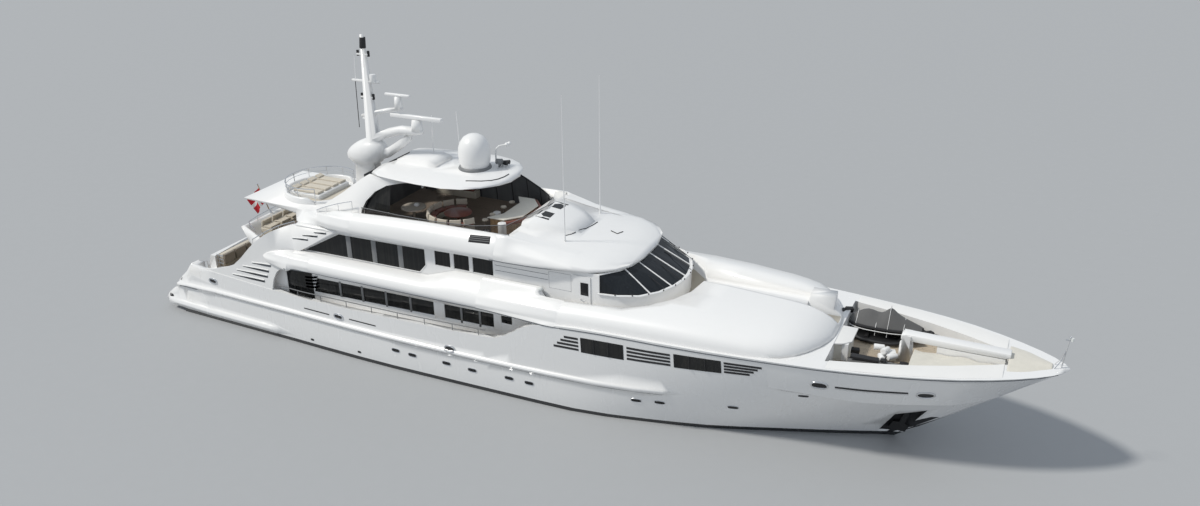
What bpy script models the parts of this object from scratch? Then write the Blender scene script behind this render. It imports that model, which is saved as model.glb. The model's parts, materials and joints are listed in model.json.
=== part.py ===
"""Motor yacht, 60 m long in full size, drawn in full-size metres and held at 1:2 by the root empty.

X runs to the bow, Y to port, Z up. The origin is amidships on the centreline, at the waterline.
"""

import math

import bmesh
import bpy
import mathutils

MODEL_SCALE = 0.5
GAP = 0.0008
CLEAR = 0.012

# Hull
BOW_X = 30.0
STEM_WATER_X = 21.7
TRANSOM_WATER_X = -28.7
TRANSOM_TOP_X = -27.3
TOP_LEVEL = 6.25
DRAUGHT = 3.0
KEEL_HALF = 0.3

# Decks
MAIN_DECK_Z = 2.6
UPPER_DECK_Z = 6.1
BRIDGE_DECK_Z = 6.4
SUN_DECK_Z = 9.3
FORE_DECK_Z = 5.0
BELT_LOW_Z = 5.62

SHEER_Z = [
    (-28.0, 4.0), (-24.0, 3.85), (-20.0, 3.7), (-16.7, 3.63), (-9.0, 3.85), (-2.5, 4.05),
    (-1.5, 4.15), (-0.8, 4.45), (-0.1, 4.92), (0.5, 5.33), (1.1, 5.6), (2.0, 5.86), (3.0, 6.0),
    (9.0, 6.15), (18.0, 6.15), (25.0, 6.25), (30.0, 6.3),
]
SHEER_Y = [
    (-27.3, 4.55), (-20.0, 5.02), (-8.0, 5.6), (4.0, 5.78), (9.0, 5.72), (12.0, 5.55),
    (18.0, 4.95), (22.0, 4.2), (25.0, 3.3), (27.5, 2.15), (29.0, 1.2), (29.7, 0.55), (30.0, 0.03),
]
WATER_Y = [
    (-28.7, 4.55), (-20.0, 4.91), (-8.8, 5.35), (2.4, 5.3), (9.9, 4.1), (15.5, 2.3),
    (19.2, 0.95), (21.0, 0.25), (21.7, 0.03),
]
KEEL_DEPTH = [(0.0, 0.7), (0.07, 0.85), (0.14, 1.15), (0.27, 2.4), (0.38, 3.0), (1.0, 3.0)]


def clear_scene():
    """Empties the file, so that the script gives the same model from any start."""
    for item in list(bpy.data.objects):
        bpy.data.objects.remove(item, do_unlink=True)


clear_scene()
PARTS = bpy.data.collections.new("Motor yacht")
CUTTERS = bpy.data.collections.new("Cutters")
bpy.context.scene.collection.children.link(PARTS)
bpy.context.scene.collection.children.link(CUTTERS)
ROOT = bpy.data.objects.new("Full size frame", None)
ROOT.scale = (MODEL_SCALE, MODEL_SCALE, MODEL_SCALE)
PARTS.objects.link(ROOT)


def material(name, colour, roughness, metallic=0.0):
    """A plain Principled material."""
    made = bpy.data.materials.new(name)
    made.use_nodes = True
    shader = made.node_tree.nodes["Principled BSDF"]
    shader.inputs["Base Color"].default_value = (*colour, 1.0)
    shader.inputs["Roughness"].default_value = roughness
    shader.inputs["Metallic"].default_value = metallic
    return made


WHITE = material("White paint", (0.86, 0.87, 0.87), 0.25)
HULL_WHITE = material("Hull paint", (0.8, 0.81, 0.82), 0.2)
GLASS = material("Dark glass", (0.01, 0.012, 0.015), 0.05)
STEEL = material("Polished steel", (0.7, 0.7, 0.72), 0.15, 1.0)
BRONZE = material("Propeller bronze", (0.6, 0.42, 0.2), 0.3, 1.0)
TEAK = material("Teak", (0.5, 0.36, 0.22), 0.6)
CREAM = material("Cream cloth", (0.78, 0.72, 0.6), 0.9)
COVER = material("Grey cover", (0.18, 0.18, 0.19), 0.8)
WOOD = material("Red wood", (0.25, 0.1, 0.05), 0.35)


def table(points, x):
    """Reads a value from (x, value) pairs by smooth interpolation between its neighbours."""
    if x <= points[0][0]:
        return points[0][1]
    if x >= points[-1][0]:
        return points[-1][1]
    n = len(points)
    i = 0
    while points[i + 1][0] < x:
        i += 1
    x0, y0 = points[i]
    x1, y1 = points[i + 1]

    def slope(k):
        if k <= 0:
            return (points[1][1] - points[0][1]) / (points[1][0] - points[0][0])
        if k >= n - 1:
            return (points[-1][1] - points[-2][1]) / (points[-1][0] - points[-2][0])
        before = (points[k][1] - points[k - 1][1]) / (points[k][0] - points[k - 1][0])
        after = (points[k + 1][1] - points[k][1]) / (points[k + 1][0] - points[k][0])
        if before * after <= 0:
            return 0.0
        return 2 * before * after / (before + after)

    h = x1 - x0
    s = (x - x0) / h
    a = slope(i) * h
    b = slope(i + 1) * h
    return (
        y0 * (2 * s**3 - 3 * s**2 + 1)
        + a * (s**3 - 2 * s**2 + s)
        + y1 * (3 * s**2 - 2 * s**3)
        + b * (s**3 - s**2)
    )


def straight(points, x):
    """Reads a value from (x, value) pairs along straight lines."""
    for (x0, y0), (x1, y1) in zip(points, points[1:]):
        if x <= x1:
            return y0 + (y1 - y0) * max(0.0, (x - x0) / (x1 - x0))
    return points[-1][1]


def place(made, parent=None, joint=None):
    """Hangs an object under the root, with its origin on its joint if it has one."""
    if joint is not None:
        offset = mathutils.Vector(joint)
        made.data.transform(mathutils.Matrix.Translation(-offset))
        made.location = offset
    made.parent = parent or ROOT
    return made


def finish(name, mesh, shade, smooth=None, joint=None):
    """Makes a named part from a mesh."""
    made = bpy.data.objects.new(name, mesh)
    PARTS.objects.link(made)
    mesh.materials.clear()
    mesh.materials.append(shade)
    if smooth:
        mesh.shade_smooth()
        mesh.set_sharp_from_angle(angle=math.radians(smooth))
    return place(made, joint=joint)


def hide(made):
    """Turns a part into a cutter."""
    for home in list(made.users_collection):
        home.objects.unlink(made)
    CUTTERS.objects.link(made)
    made.hide_render = True
    made.display_type = "WIRE"
    return made


def boolean(made, tool, operation="DIFFERENCE", solver="EXACT"):
    """Adds a Boolean with a cutter."""
    hide(tool)
    step = made.modifiers.new(tool.name, "BOOLEAN")
    step.object = tool
    step.operation = operation
    step.solver = solver
    return made


def mirrored(mesh):
    """A copy of a mesh on the other side of the centreline."""
    other = mesh.copy()
    other.transform(mathutils.Matrix.Scale(-1, 4, (0, 1, 0)))
    other.flip_normals()
    return other


def loft_mesh(name, rings, close_ends=True):
    """Skins a list of closed rings, which all have the same number of points.

    Ends are closed by one face, or with "zip" by faces from each side to the other.
    """
    bm = bmesh.new()
    rows = [[bm.verts.new(p) for p in ring] for ring in rings]
    count = len(rows[0])
    for one, two in zip(rows, rows[1:]):
        for k in range(count):
            m = (k + 1) % count
            bm.faces.new((one[k], one[m], two[m], two[k]))
    for row, ends in ((rows[0], close_ends), (rows[-1], close_ends)):
        if ends == "zip":
            for k in range(count // 2 - 1):
                bm.faces.new((row[k], row[k + 1], row[count - 2 - k], row[count - 1 - k]))
        elif ends:
            bm.faces.new(row)
    bmesh.ops.remove_doubles(bm, verts=bm.verts, dist=1e-5)
    bmesh.ops.recalc_face_normals(bm, faces=bm.faces)
    mesh = bpy.data.meshes.new(name)
    bm.to_mesh(mesh)
    bm.free()
    return mesh


def plate_mesh(name, outline, axis, low, high):
    """A flat outline pushed along an axis: 0 is X, 1 is Y, 2 is Z."""
    bm = bmesh.new()
    corners = []
    for a, b in outline:
        point = {0: (low, a, b), 1: (a, low, b), 2: (a, b, low)}[axis]
        corners.append(bm.verts.new(point))
    face = bm.faces.new(corners)
    pushed = bmesh.ops.extrude_face_region(bm, geom=[face])
    shift = [0, 0, 0]
    shift[axis] = high - low
    moved = [v for v in pushed["geom"] if isinstance(v, bmesh.types.BMVert)]
    bmesh.ops.translate(bm, verts=moved, vec=shift)
    bmesh.ops.recalc_face_normals(bm, faces=bm.faces)
    mesh = bpy.data.meshes.new(name)
    bm.to_mesh(mesh)
    bm.free()
    return mesh


def box_mesh(name, x0, x1, y0, y1, z0, z1):
    """A box by its limits."""
    bm = bmesh.new()
    bmesh.ops.create_cube(bm, size=1.0)
    bmesh.ops.scale(bm, vec=(x1 - x0, y1 - y0, z1 - z0), verts=bm.verts)
    middle = ((x0 + x1) / 2, (y0 + y1) / 2, (z0 + z1) / 2)
    bmesh.ops.translate(bm, vec=middle, verts=bm.verts)
    mesh = bpy.data.meshes.new(name)
    bm.to_mesh(mesh)
    bm.free()
    return mesh


def rod_mesh(name, start, end, r0, r1=None, sides=12):
    """A round bar or cone between two points."""
    start = mathutils.Vector(start)
    end = mathutils.Vector(end)
    way = end - start
    bm = bmesh.new()
    bmesh.ops.create_cone(
        bm, cap_ends=True, segments=sides, radius1=r0, radius2=r0 if r1 is None else r1, depth=way.length
    )
    turn = mathutils.Vector((0, 0, 1)).rotation_difference(way.normalized()).to_matrix().to_4x4()
    bmesh.ops.transform(bm, matrix=mathutils.Matrix.Translation((start + end) / 2) @ turn, verts=bm.verts)
    mesh = bpy.data.meshes.new(name)
    bm.to_mesh(mesh)
    bm.free()
    return mesh


def turned_mesh(name, profile, centre, sides=24):
    """A profile of (radius, height) pairs turned about a vertical line, top first."""
    rings = []
    for r, z in profile:
        ring = []
        for k in range(sides):
            a = 2 * math.pi * k / sides
            ring.append((centre[0] + max(r, 0.004) * math.cos(a), centre[1] + max(r, 0.004) * math.sin(a), z))
        rings.append(ring)
    return loft_mesh(name, rings)


def bevel(made, width, segments=2, angle=30):
    """Rounds a part's sharp edges."""
    step = made.modifiers.new("Bevel", "BEVEL")
    step.width = width
    step.segments = segments
    step.limit_method = "ANGLE"
    step.angle_limit = math.radians(angle)
    return made


def mirror_pair(name, mesh, shade, smooth=None, joint=None):
    """Makes the port piece from a mesh and its starboard twin."""
    twin = mirrored(mesh)
    other_joint = None if joint is None else (joint[0], -joint[1], joint[2])
    port = finish(name + "_port", mesh, shade, smooth, joint)
    starboard = finish(name + "_starboard", twin, shade, smooth, other_joint)
    return port, starboard


def both_sides(points):
    """Completes a ring of (y, z) points on the port side with its starboard half."""
    return points + [(-y, z) for y, z in reversed(points)]


def section_loft(name, xs, section):
    """Lofts cross-sections along X. The section gives port points, bottom centre to top centre."""
    rings = []
    for x in xs:
        rings.append([(x, y, z) for y, z in both_sides(section(x))])
    return loft_mesh(name, rings)

def shrink(ring, distance):
    """Moves a closed plan outline inwards, keeping its heights."""
    count = len(ring)
    area = sum(
        ring[i][0] * ring[(i + 1) % count][1] - ring[(i + 1) % count][0] * ring[i][1]
        for i in range(count)
    )
    turn = 1 if area > 0 else -1
    moved = []
    for i in range(count):
        before, here, after = ring[i - 1], ring[i], ring[(i + 1) % count]
        a = mathutils.Vector((here[0] - before[0], here[1] - before[1])).normalized()
        b = mathutils.Vector((after[0] - here[0], after[1] - here[1])).normalized()
        na = mathutils.Vector((-a.y, a.x)) * turn
        nb = mathutils.Vector((-b.y, b.x)) * turn
        mitre = (na + nb).normalized()
        reach = distance / max(mitre.dot(na), 0.4)
        moved.append((here[0] + mitre.x * reach, here[1] + mitre.y * reach, here[2]))
    return moved


def wall_mesh(name, rings, thick):
    """A closed wall through plan rings from its foot to its head, which may bend between them."""
    inside = [shrink(ring, thick) for ring in reversed(rings)]
    bm = bmesh.new()
    rows = [[bm.verts.new(p) for p in ring] for ring in rings + inside]
    count = len(rings[0])
    for k, one in enumerate(rows):
        two = rows[(k + 1) % len(rows)]
        for i in range(count):
            j = (i + 1) % count
            bm.faces.new((one[i], one[j], two[j], two[i]))
    bmesh.ops.recalc_face_normals(bm, faces=bm.faces)
    mesh = bpy.data.meshes.new(name)
    bm.to_mesh(mesh)
    bm.free()
    return mesh


def side_window(name, outline, y_out, y_in, side):
    """A cutter or a pane on one side, from an outline of (x, z) points."""
    low, high = sorted((side * y_in, side * y_out))
    return plate_mesh(name, outline, 1, low, high)


def shrink_outline(outline, distance):
    """Moves a flat outline inwards."""
    ring = shrink([(a, b, 0.0) for a, b in outline], distance)
    return [(a, b) for a, b, _ in ring]


# Hull

def transom_x(level):
    return TRANSOM_WATER_X + (TRANSOM_TOP_X - TRANSOM_WATER_X) * level / 0.64


def stem_x(level):
    return STEM_WATER_X + (BOW_X - STEM_WATER_X) * (1.03 * level - 0.03 * level**2)


def water_y(u):
    return table(WATER_Y, TRANSOM_WATER_X + u * (STEM_WATER_X - TRANSOM_WATER_X))


def sheer_y(u):
    return table(SHEER_Y, TRANSOM_TOP_X + u * (BOW_X - TRANSOM_TOP_X))


def side_point(u, z):
    """A point on the port side of the hull at a share u of its length and a height z."""
    level = z / TOP_LEVEL
    x = transom_x(min(level, 0.64)) + u * (stem_x(level) - transom_x(min(level, 0.64)))
    power = 1.0 + 0.7 * max(0.0, (u - 0.6) / 0.4)
    blend = max(level, 0.0) ** power
    y = water_y(u) * (1 - blend) + sheer_y(u) * blend
    return x, y, z


def side_y(x, z):
    """Half-breadth of the hull at x and z."""
    low, high = 0.0, 1.0
    for _ in range(40):
        mid = (low + high) / 2
        if side_point(mid, z)[0] < x:
            low = mid
        else:
            high = mid
    return side_point((low + high) / 2, z)[1]


def sheer_z(x):
    return table(SHEER_Z, x)


def under_half(u, d):
    """Half-breadth under water at a share u of the length and a share d of the keel's depth."""
    fine = 2.6 - 1.2 * max(0.0, (u - 0.55) / 0.45)
    return max(water_y(u) * max(0.0, 1 - d**fine) ** 0.5, KEEL_HALF * min(1.0, water_y(u) / 2.0))


def under_u(x, d):
    """The share of length at which the station passes x at depth share d."""
    x0 = TRANSOM_WATER_X + 0.9 * d
    x1 = STEM_WATER_X - 3.4 * d**2
    return (x - x0) / (x1 - x0)


def bottom_z(x, y):
    """Height of the hull's bottom at x and y."""
    low, high = 0.0, 1.0
    for _ in range(40):
        d = (low + high) / 2
        if under_half(under_u(x, d), d) > abs(y):
            low = d
        else:
            high = d
    return -table(KEEL_DEPTH, under_u(x, low)) * low


def under_y(x, z):
    """Half-breadth of the hull under water at x and z."""
    d = 0.5
    for _ in range(30):
        d = min(1.0, -z / table(KEEL_DEPTH, under_u(x, d)))
    return under_half(under_u(x, d), d)


def hull_ring(u):
    z = 4.0
    for _ in range(30):
        z = sheer_z(side_point(u, z)[0])
    port = [side_point(u, z * t) for t in (1.0, 0.86, 0.72, 0.58, 0.44, 0.3, 0.15, 0.0)]
    depth = table(KEEL_DEPTH, u)
    for d in (0.25, 0.5, 0.7, 0.85, 0.95, 1.0):
        x0 = TRANSOM_WATER_X + 0.9 * d
        x1 = STEM_WATER_X - 3.4 * d**2
        port.append((x0 + u * (x1 - x0), under_half(u, d), -depth * d))
    starboard = [(x, -y, zz) for x, y, zz in reversed(port)]
    return port + starboard


HULL_X = [
    -27.3, -25.0, -22.0, -19.0, -16.0, -13.0, -10.0, -7.0, -4.5, -2.5, -1.5, -0.8, -0.1, 0.5, 1.1,
    2.0, 4.0, 6.5, 9.0, 11.5, 14.0, 16.0, 18.0, 20.0, 22.0, 23.5, 25.0, 26.4, 27.6, 28.6, 29.3, 29.8, 30.0,
]


def u_at(x):
    """The share of length at which the sheer lies at x."""
    low, high = 0.0, 1.0
    for _ in range(40):
        mid = (low + high) / 2
        z = 4.0
        for _ in range(12):
            z = sheer_z(side_point(mid, z)[0])
        if side_point(mid, z)[0] < x:
            low = mid
        else:
            high = mid
    return (low + high) / 2


hull_shares = [u_at(x) for x in HULL_X]
hull_shares[0] = 0.0
hull_shares[-1] = 1.0
hull = finish("hull", loft_mesh("hull", [hull_ring(u) for u in hull_shares], "zip"), HULL_WHITE, 30)


def plan(xs, inset, z):
    """An outline inside the hull's side, port then starboard."""
    port = [(x, max(side_y(x, z) - inset, 0.05)) for x in xs]
    return port + [(x, -y) for x, y in reversed(port)]


main_well = finish(
    "main well",
    plate_mesh(
        "main well", plan([-26.9, -24, -20, -16, -12, -8, -4, -1.5, 0.6], 0.32, 3.4), 2, MAIN_DECK_Z, 7.0,
    ),
    TEAK,
)
boolean(hull, main_well)
fore_well = finish(
    "fore well",
    plate_mesh("fore well", plan([18.1, 19.5, 21.0, 23.0, 25.0, 26.3, 27.2], 0.42, 5.0), 2, FORE_DECK_Z, 7.5),
    TEAK,
)
boolean(hull, fore_well)
POCKET_IN_Y = 0.35
POCKET_PLAN = [(20.9, 0.55), (22.2, 0.45), (23.4, 2.62), (21.75, 2.2)]
for side in (1, -1):
    y0, y1 = sorted((side * POCKET_IN_Y, side * 2.6))
    boolean(hull, finish("anchor pocket", plate_mesh("anchor pocket", POCKET_PLAN, 1, y0, y1), STEEL))


# Rub rails, stern quarters and sponsons, all joined to the hull

QUARTER_END_X = -30.55
QUARTER_IN_Y = 3.75
QUARTER_TOP = [
    (-30.55, 0.85), (-30.3, 1.2), (-29.7, 1.62), (-29.15, 1.95), (-29.0, 2.4), (-28.6, 2.78), (-28.0, 3.3),
    (-27.6, 3.8), (-27.3, 4.08), (-27.05, 3.85),
]
QUARTER_LOW = [(-30.55, 0.6), (-30.3, 0.42), (-29.8, 0.28), (-28.5, 0.06), (-27.05, 0.2)]


def skin_y(x, z):
    """Half-breadth of the hull, carried on aft of the transom as the stern quarters."""
    if x > -28.0:
        return side_y(x, z)
    return side_y(-28.0, max(z, 0.0)) - 0.035 * (x + 28.0) ** 2


def quarter_ring(x, side):
    top = table(QUARTER_TOP, x)
    low = table(QUARTER_LOW, x)
    out = skin_y(x, 2.0) - (0.07 if x > -27.2 else 0.0)
    tall = top - low
    ring = [
        (QUARTER_IN_Y, low + 0.05), (out - 0.3, low), (out - 0.08, low + 0.12 * tall),
        (out, low + 0.3 * tall),
        (out, top - 0.3 * tall), (out - 0.06, top - 0.1 * tall), (out - 0.22, top),
        (QUARTER_IN_Y, top - 0.02),
    ]
    return [(x, side * y, z) for y, z in ring]


def side_bar(name, xs, z_of, out, low, high, side, end_grow=0.35):
    """A moulding along the hull's side."""
    rings = []
    for k, x in enumerate(xs):
        z = z_of(x)
        grow = 1.0 if 0 < k < len(xs) - 1 else end_grow
        y0 = skin_y(x, z + low) - 0.12
        y1 = skin_y(x, z + high) - 0.12
        reach = out + 0.12
        rings.append(
            [
                (x, side * y0, z + low * grow),
                (x, side * (y0 + reach * 0.8 * grow), z + low * grow * 0.85),
                (x, side * (y0 + reach * grow), z + (low + high) / 2),
                (x, side * (y1 + reach * 0.8 * grow), z + high * grow * 0.85),
                (x, side * y1, z + high * grow),
            ]
        )
    boolean(hull, finish(name, loft_mesh(name, rings), HULL_WHITE), "UNION")


def rub_z(x):
    return 2.38 + 0.3 * max(0.0, (x + 4.0) / 13.6) ** 2 - 0.1 * max(0.0, -27.0 - x)


def sponson_z(x):
    return 0.62 + 0.1 * max(0.0, -26.0 - x) / 4.0


RUB_XS = [
    -29.1, -28.9, -28.0, -25.0, -22.0, -19.0, -16.0, -13.0, -10.0, -7.0, -4.0, -1.0, 2.0, 5.0, 7.5, 9.3,
    9.66,
]
SPONSON_XS = [-30.35, -30.1, -29.2, -28.0, -26.0, -24.0, -22.0, -20.4, -19.6, -19.2]
for side, word in ((1, "port"), (-1, "starboard")):
    quarter = loft_mesh("quarter", [quarter_ring(x, side) for x, _ in reversed(QUARTER_TOP)])
    boolean(hull, finish("stern quarter " + word, quarter, HULL_WHITE), "UNION")
    side_bar("rub rail " + word, RUB_XS, rub_z, 0.17, -0.18, 0.18, side)
    side_bar("sponson " + word, SPONSON_XS, sponson_z, 0.2, -0.34, 0.26, side)
    gate_low, gate_high = sorted((side * 2.6, side * 3.6))
    boolean(
        hull,
        finish(
            "stern gate " + word, box_mesh("gate", -28.6, -26.8, gate_low, gate_high, MAIN_DECK_Z, 5.0),
            TEAK,
        ),
    )

# Swim platform, stern stairs and the transom door, which is hinged along its top edge

PLATFORM_LOW, PLATFORM_HIGH = 0.35, 0.83
DOOR_LOW, DOOR_HIGH = 0.95, 2.2
DOOR_THICK = 0.1
DOOR_HINGE_Z = DOOR_HIGH + 0.06
STAIR_COUNT = 6


def transom_plane(z, out):
    """X of the transom at a height, moved aft."""
    return TRANSOM_WATER_X + (TRANSOM_TOP_X - TRANSOM_WATER_X) / 4.0 * z - out


platform_half = [
    (-28.6, QUARTER_IN_Y - GAP), (-30.4, QUARTER_IN_Y - GAP), (-30.72, 3.55), (-30.92, 3.0), (-31.02, 2.0),
    (-31.08, 1.0), (-31.1, 0.0),
]
platform_outline = platform_half + [(x, -y) for x, y in reversed(platform_half[:-1])]
platform_mesh = plate_mesh("swim_platform", platform_outline, 2, PLATFORM_LOW, PLATFORM_HIGH)
for v in platform_mesh.vertices:
    if v.co.x > -28.7:
        v.co.x = transom_plane(v.co.z, GAP)
platform = finish("swim_platform", platform_mesh, HULL_WHITE)

stair_rise = (MAIN_DECK_Z - PLATFORM_HIGH) / STAIR_COUNT
stair_outline = [(transom_plane(PLATFORM_HIGH, GAP), PLATFORM_HIGH + GAP), (-29.6, PLATFORM_HIGH + GAP)]
for k in range(STAIR_COUNT - 1):
    tread = PLATFORM_HIGH + stair_rise * (k + 1)
    stair_outline.append((-29.6 + 0.3 * k, tread))
    stair_outline.append((min(-29.3 + 0.3 * k, transom_plane(tread, GAP) - 0.1), tread))
stair_outline[-1] = (transom_plane(MAIN_DECK_Z - stair_rise, GAP), MAIN_DECK_Z - stair_rise)
mirror_pair("stern_stairs", plate_mesh("stern_stairs", stair_outline, 1, 2.5, QUARTER_IN_Y - GAP), WHITE)

door_outline = [
    (transom_plane(DOOR_LOW, DOOR_THICK), DOOR_LOW), (transom_plane(DOOR_LOW, GAP), DOOR_LOW),
    (transom_plane(DOOR_HIGH, GAP), DOOR_HIGH), (transom_plane(DOOR_HINGE_Z, DOOR_THICK), DOOR_HINGE_Z),
]
finish(
    "transom_door",
    plate_mesh("transom_door", door_outline, 1, -1.7, 1.7),
    WHITE,
    joint=(transom_plane(DOOR_HINGE_Z, DOOR_THICK), 0.0, DOOR_HINGE_Z),
)

# Main deck house

MAIN_TOP = BELT_LOW_Z - GAP
MAIN_BAND = [(-16.35, 3.85), (-2.3, 4.05), (-2.3, 5.0), (-16.0, 4.9)]
MAIN_FORE_WINDOW = [(-1.75, 4.5), (-1.0, 4.53), (-1.0, 5.02), (-1.75, 5.0)]
main_plan = [(-17.3, 3.2), (-17.0, 3.9), (-16.4, 4.25), (-8.0, 4.3), (0.2, 4.3), (0.45, 4.1)]
main_ring = main_plan + [(x, -y) for x, y in reversed(main_plan)]
main_house = finish(
    "main_house",
    wall_mesh(
        "main_house",
        [[(x, y, MAIN_DECK_Z + GAP) for x, y in main_ring], [(x, y, MAIN_TOP) for x, y in main_ring]],
        0.14,
    ),
    WHITE,
)
for side, word in ((1, "port"), (-1, "starboard")):
    for tag, band in (("main_glass", MAIN_BAND), ("main_glass_fore", MAIN_FORE_WINDOW)):
        boolean(main_house, finish(tag + " cut " + word, side_window("band", band, 4.6, 3.9, side), GLASS))
    finish(
        "main_glass_" + word, side_window("glass", shrink_outline(MAIN_BAND, GAP), 4.24, 4.19, side), GLASS,
    )
boolean(main_house, finish("saloon opening", box_mesh("opening", -17.8, -16.9, -1.6, 1.6, 2.0, 4.95), GLASS))
for side, word in ((1, "port"), (-1, "starboard")):
    y0, y1 = sorted((side * CLEAR, side * 1.66))
    finish(
        "saloon_door_" + word,
        box_mesh("saloon_door", -17.36, -17.301, y0, y1, MAIN_DECK_Z + CLEAR, 5.0),
        GLASS,
        joint=(-17.33, side * 0.8, 3.8),
    )

# Upper deck: a slab with the aft deck's bulwark, and a moulded belt along each side

DECK_Y = [(-23.5, 2.9), (-22.0, 3.6), (-20.3, 4.5), (-19.4, 4.7), (-18.4, 4.5), (-17.5, 4.22), (1.1, 4.22)]
RIM_Z = 6.95
RIM_END_X = -17.36
BELT_Y = [(-19.6, 5.1), (-18.6, 5.2), (-16.0, 5.26), (-10.0, 5.32), (-4.0, 5.4), (1.0, 5.5)]
BELT_NOSE_X = -19.57
BELT_NOSE_LONG = 1.7
BELT_MID_Z = 6.22
WING_MARGIN = 0.025


def deck_section(x):
    out = table(DECK_Y, x)
    low = BELT_LOW_Z + max(0.0, (-22.0 - x) / 1.5) * 1.15
    if x > RIM_END_X:
        return [
            (0.0, low), (out - 0.3, low), (out, low), (out, 5.8), (out, 5.95), (out, 6.0),
            (out, 6.04), (out, UPPER_DECK_Z), (0.0, UPPER_DECK_Z),
        ]
    floor = min(RIM_Z - 0.02, UPPER_DECK_Z + max(0.0, -22.5 - x) * 1.1)
    return [
        (0.0, low), (out - 0.5, low), (out - 0.1, low + 0.12), (out, max(6.1, low + 0.15)),
        (out - 0.05, 6.6 if low < 6.5 else low + 0.17), (out - 0.12, RIM_Z), (out - 0.3, RIM_Z),
        (out - 0.33, floor),
        (0.0, floor),
    ]


upper_xs = [
    -23.5, -23.25, -22.9, -22.5, -22.0, -20.3, -19.4, -18.4, -17.5, RIM_END_X - 0.001, RIM_END_X + 0.001,
    1.1,
]
upper_deck = finish("upper_deck", section_loft("upper_deck", upper_xs, deck_section), WHITE, 40)


FLARE_LOW_Z, FLARE_HIGH_Z = 5.2, 6.8


def wing_y(x, z):
    """The outer face of the stern wing, from the hull's side in to the house's side."""
    low = min(side_y(x, 3.7), 5.12) - 0.03
    high = table([(-25.8, 4.9), (-20.4, 4.97), (-19.4, 4.9), (-18.4, 4.68), (-17.4, 4.42), (-13.0, 4.42)], x)
    share = max(0.0, min(1.0, (z - FLARE_LOW_Z) / (FLARE_HIGH_Z - FLARE_LOW_Z)))
    return low + (high - low) * share


def belt_ring(x, side):
    out = table(BELT_Y, x)
    top = 6.78 + 0.7 * max(0.0, min(1.0, (x + 7.0) / 2.2))
    if x < -17.45:
        nose = max(0.0, BELT_NOSE_X + BELT_NOSE_LONG - x) / BELT_NOSE_LONG
        reach = max(math.sqrt(max(0.0, 1 - nose**2)), 0.12)
        skin = wing_y(x, BELT_MID_Z)
        ring = []
        for y, z in (
            (skin, BELT_LOW_Z), (out - 0.12, BELT_LOW_Z), (out - 0.03, 5.76), (out, 6.1), (out - 0.1, 6.5),
            (skin + 0.12, 6.7), (skin + 0.06, 6.76), (skin, 6.77),
        ):
            z = BELT_MID_Z + (z - BELT_MID_Z) * reach
            ring.append((wing_y(x, z) + WING_MARGIN + (y - skin) * reach, z))
    else:
        ring = [
            (4.22 + GAP, BELT_LOW_Z), (out - 0.3, BELT_LOW_Z), (out - 0.05, 5.76), (out, 6.1),
            (out - 0.22, 6.45),
            (4.42, top), (4.33, top), (4.22 + GAP, top),
        ]
    return [(x, side * y, z) for y, z in ring]


belt_xs = [
    -19.57, -19.45, -19.2, -18.8, -18.2, -17.87, -17.46, -17.44, -16.0, -13.0, -10.0, -7.0, -5.9, -4.8,
    -2.0, 1.1,
]
for side, word in ((1, "port"), (-1, "starboard")):
    finish("belt_" + word, loft_mesh("belt", [belt_ring(x, side) for x in belt_xs]), WHITE, 40)

# Stern wings, from the bulwark up past the belt to the sun deck

WING_TOP = [
    (-25.8, 4.0), (-25.2, 4.08), (-24.26, 4.35), (-22.86, 4.87), (-21.6, 5.95), (-20.47, 7.0), (-19.2, 7.87),
    (-18.0, 8.4), (-16.8, 8.735), (-16.3, 8.745), (-13.7, 8.745),
]
WING_THICK = 0.14
WING_SLANT = (8.6 - 6.79) / 3.25


def wing_bottom(x):
    if x < -19.455:
        return straight([(s, sheer_z(s)) for s in HULL_X], x) + GAP
    if x < -17.5:
        return table(
            [(-19.45, 3.7), (-19.2, 4.5), (-18.8, 5.15), (-18.2, 5.6), (-17.87, 5.75), (-17.51, 5.9)], x,
        )
    return max(6.78 + GAP, 6.79 + WING_SLANT * (x + 17.0))


def wing_ring(x, side):
    low = wing_bottom(x)
    top = max(table(WING_TOP, x), low + 0.06)
    first = max(low + 0.01, min(FLARE_LOW_Z, top - 0.04))
    second = max(first + 0.01, min(FLARE_HIGH_Z, top - 0.03))
    heights = [low, first, (first + second) / 2, second, (second + top) / 2, top]
    port = [(x, wing_y(x, z), z) for z in heights]
    inside = [(x, y - WING_THICK, z) for _, y, z in reversed(port)]
    return [(a, side * b, c) for a, b, c in port + inside]


wing_xs = [
    -25.8, -25.0, -24.26, -23.5, -22.86, -22.0, -21.6, -21.0, -20.47, -19.8, -19.57, -19.46, -19.45, -19.2,
    -18.8,
    -18.2, -17.87, -17.52, -17.48, -17.0, -16.4, -15.6, -14.8, -13.75,
]
for side, word in ((1, "port"), (-1, "starboard")):
    finish("stern_wing_" + word, loft_mesh("wing", [wing_ring(x, side) for x in wing_xs]), WHITE, 40)

# Upper deck house and bridge

ROOF_Z = 8.75


def roof_low(x):
    """Underside of the sun deck."""
    if x < -17.4:
        return ROOF_Z + 0.42 * min(1.0, (-17.4 - x) / 4.0)
    return ROOF_Z + 0.17 * max(0.0, min(1.0, (x + 2.0) / 7.0))


SIDE_PLAN = [
    (-17.2, 3.3), (-17.05, 3.95), (-16.8, 4.18), (-9.0, 4.18), (-2.0, 4.18), (1.0, 4.18), (1.09, 4.18),
]
FRONT_SILL = [(4.8, 4.18), (6.0, 4.03), (7.2, 3.55), (8.05, 2.6), (8.55, 1.4), (8.72, 0.45)]
FRONT_HEAD = [(4.8, 4.18), (5.2, 3.72), (5.65, 3.12), (6.0, 2.3), (6.18, 1.3), (6.24, 0.45)]
SILL_Z, HEAD_Z = 7.7, 8.92


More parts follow.
